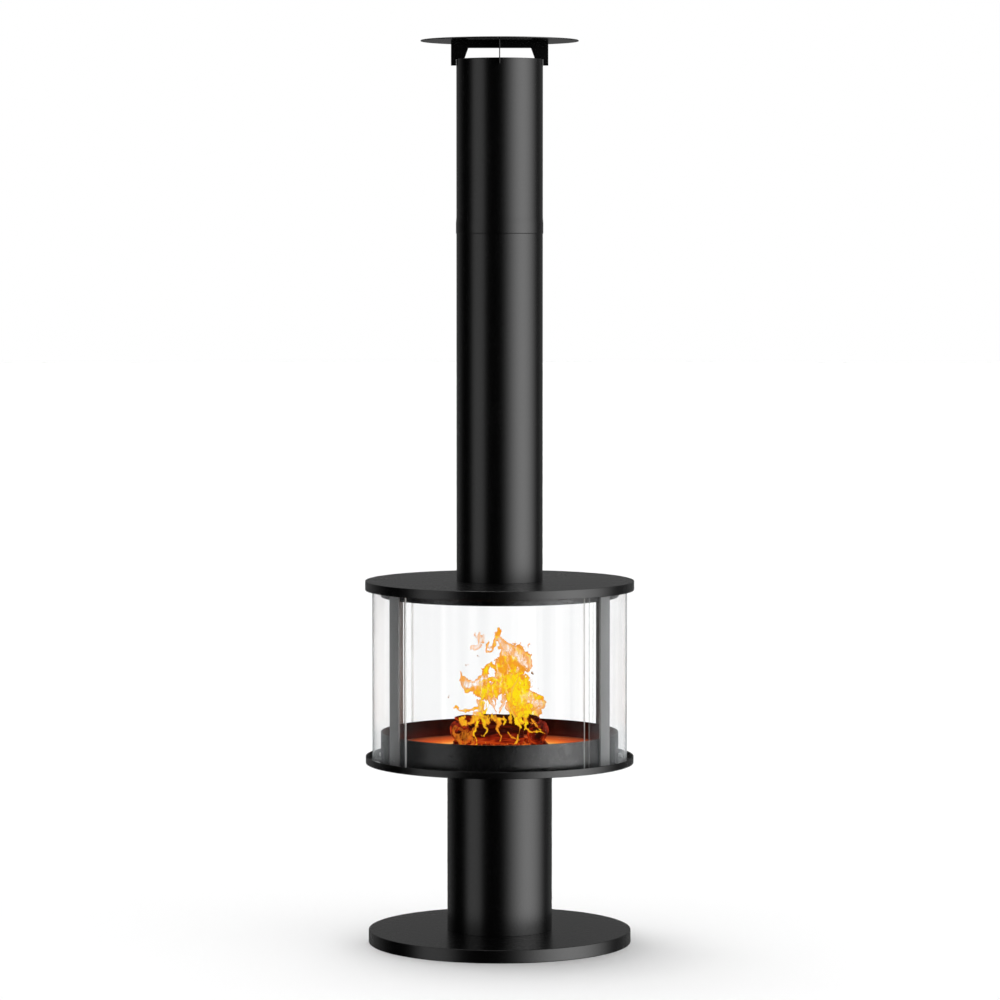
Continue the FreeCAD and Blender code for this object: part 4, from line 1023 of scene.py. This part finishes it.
def glass_edge(name, colour, cover):
    """A glass edge's line with fine grit: pale with a painted highlight on a ground edge, or faint."""
    tree = Tree(bpy.data.materials.new(name))
    grit = tree.noise(tree.place(), 700, 2.0)
    return tree.principled({
        "Base Color": tree.blend(grit * 0.3, colour, dimmed(colour, 0.8)), "Roughness": 0.4, "Alpha": cover})


fire_glass = clear_glass("clear_fire_glass")
# The front and rear panes' edges are pale with a painted highlight; those at the sides are faint.
ground_ends_painted_highlight = glass_edge("ground_glass_edge_painted_highlight", (0.93, 0.95, 0.94, 1), 0.85)
faint_ends = glass_edge("faint_glass_edge", (0.60, 0.63, 0.62, 1), 0.35)


def pane(side, edge):
    """One side's curved pane: a loop round its plan, carried up from edge to edge.

    A point of the loop is (r sin a, -r cos a), at the outer radius going one way and at the
    inner radius coming back. The first and last loops are drawn in by the arris."""
    node = f"glass_{side}"
    points = points_of(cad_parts[node])
    inner, outer, low, high = reach(node)
    middle = math.atan2(points[:, 0].mean(), -points[:, 1].mean())
    turn = np.arctan2(points[:, 0], -points[:, 1]) - middle
    half = np.abs((turn + math.pi) % (2 * math.pi) - math.pi).max()
    sweep = np.linspace(-half, half, GLASS_STEPS)
    nip = GLASS_ARRIS / outer
    plan_angle = np.concatenate([[sweep[0] + nip], sweep[1:-1], [sweep[-1] - nip],
                                 [sweep[-1]], [sweep[-1]], [sweep[-1] - nip], sweep[-2:0:-1],
                                 [sweep[0] + nip], [sweep[0]], [sweep[0]]])
    count = GLASS_STEPS
    plan_radius = np.concatenate([np.full(count, outer), [outer - GLASS_ARRIS, inner + GLASS_ARRIS],
                                  np.full(count, inner), [inner + GLASS_ARRIS, outer - GLASS_ARRIS]])
    centre = (inner + outer) / 2
    drawn = np.stack([plan_angle * (half - nip) / half,
                      centre + (plan_radius - centre) * (outer - inner - 2 * GLASS_ARRIS) / (outer - inner)])
    full = np.stack([plan_angle, plan_radius])
    loops = [(drawn, low), (full, low + GLASS_ARRIS), (full, high - GLASS_ARRIS), (drawn, high)]
    rows = [np.stack([radius * np.sin(middle + angle), -radius * np.cos(middle + angle),
                      np.full(len(angle), height)], -1) for (angle, radius), height in loops]
    size = len(plan_angle)
    faces = grid_faces(4, size, False, True)[:, ::-1]
    across = np.arange(count - 1)
    back = 2 * count + 1 - across
    foot = np.stack([across, back, back - 1, across + 1], -1)
    corner_foot = np.array([[0, size - 1, size - 2, 2 * count + 1],
                            [count - 1, count + 2, count + 1, count]])
    top = foot[:, ::-1] + 3 * size
    corner_top = corner_foot[:, ::-1] + 3 * size
    piece = add_mesh(f"pane_{side}", np.concatenate(rows), [faces, foot, corner_foot, top, corner_top])
    piece.data.set_sharp_from_angle(angle=math.radians(GLASS_CREASE))
    seat(piece, fire_glass, f"{side}_pane", "fire_glass", node)
    piece.data.materials.append(edge)
    on_face = np.zeros(len(piece.data.polygons), bool)
    flat = np.zeros(size, bool)
    flat[:count - 1] = True
    flat[count + 2:2 * count + 1] = True
    on_face[size:2 * size] = flat
    piece.data.polygons.foreach_set("material_index", (~on_face).astype(np.int32))


stainless = plated("satin_stainless", (0.99, 0.99, 0.98, 1), 0.35, grain=(1, 1, 14), metal=0.15)
for side in ("front", "right", "rear", "left"):
    pane(side, ground_ends_painted_highlight if side in ("front", "rear") else faint_ends)
    dress(f"glass_shoes_{side}", stainless, SHOE_EDGE)
for ring in ("inner", "outer"):
    tube(f"guide_ring_{ring}", f"glass_guide_{ring}", TUBE_EDGE)

# The hood: a steel disc with a rolled skirt, welded and ground to one smooth edge.
# It carries the flue on a spigot and shelters the top of the glass.
HOOD_WALL = 0.003
HOOD_EDGE = 0.0014

hood_hole, hood_radius, hood_underside, hood_top = reach("hood_plate")
hood_foot = reach("hood_skirt")[2]
hood_inner = hood_radius - HOOD_WALL
hood = turned("hood_shell", [
    (hood_hole, hood_underside), (hood_inner, hood_underside), (hood_inner, hood_foot),
    (hood_radius, hood_foot), (hood_radius, hood_top), (hood_hole, hood_top)], HOOD_EDGE)
painted(hood, "hood_plate", "hood_skirt")

# The flue: two lengths of thin steel pipe, the upper one belled over the lower at its foot.
# They are coated like the rest, on a spigot that rises out of the hood.
PIPE_WALL = 0.0012
PIPE_EDGE = 0.0004
SOCKET_LENGTH = 0.048
SOCKET_SHOULDER = 0.018
SOCKET_LIP = 0.0016

flue_coat = coat("matt_black_flue_coat", (0.0008, 0.0008, 0.0009, 1), COAT_DUST, COAT_ROUGHNESS)
_, pipe_radius, pipe_low, pipe_high = reach("chimney_lower")
pipe_inner = pipe_radius - PIPE_WALL
lower_pipe = turned("flue_lower", [
    (pipe_inner, pipe_low), (pipe_radius, pipe_low), (pipe_radius, pipe_high), (pipe_inner, pipe_high)],
    PIPE_EDGE)
seat(lower_pipe, flue_coat, "stove", "flue_paint", "chimney_lower")
_, socket_radius, socket_low, flue_top = reach("chimney_upper")
socket_inner = socket_radius - PIPE_WALL
socket_top = socket_low + SOCKET_LENGTH - SOCKET_SHOULDER
upper_pipe = turned("flue_upper", [
    (socket_inner, socket_low), (pipe_radius + PIPE_EDGE, socket_low),
    (socket_radius, socket_low + SOCKET_LIP), (socket_radius, socket_top),
    (pipe_radius, socket_low + SOCKET_LENGTH), (pipe_radius, flue_top), (pipe_inner, flue_top),
    (pipe_inner, socket_low + SOCKET_LENGTH), (socket_inner, socket_top)], PIPE_EDGE / 2)
seat(upper_pipe, flue_coat, "stove", "flue_paint", "chimney_upper")
dress("flue_spigot", flue_coat)

# The rain cap: a flat disc on two plates halved into each other, slotted over the pipe's end.
# It lifts off to sweep the flue.
CAP_EDGE = 0.0008
BRACE_EDGE = 0.0004
BRACE_FRONT_EDGE = 0.0012

_, cap_radius, cap_low, cap_high = reach("cap_disc")
cap = turned("cap_plate", [
    (0, cap_low), (cap_radius, cap_low), (cap_radius, cap_high), (0, cap_high)], CAP_EDGE)
seat(cap, frame_coat, "rain_cap", "foot_and_frame_paint", "cap_disc")
dress("cap_brace_x", frame_coat, BRACE_EDGE)
dress("cap_brace_y", frame_coat, BRACE_FRONT_EDGE)

# The screws: low heads with hexagon sockets, zinc plated, and those of the flue coated with it.
# They hold the bars from inside the bowl and collar, the tray to its flange and the flue's joints.
for place in ("bowl", "collar", "tray"):
    dress(f"{place}_screws", zinc)
dress("pipe_screws", flue_coat)
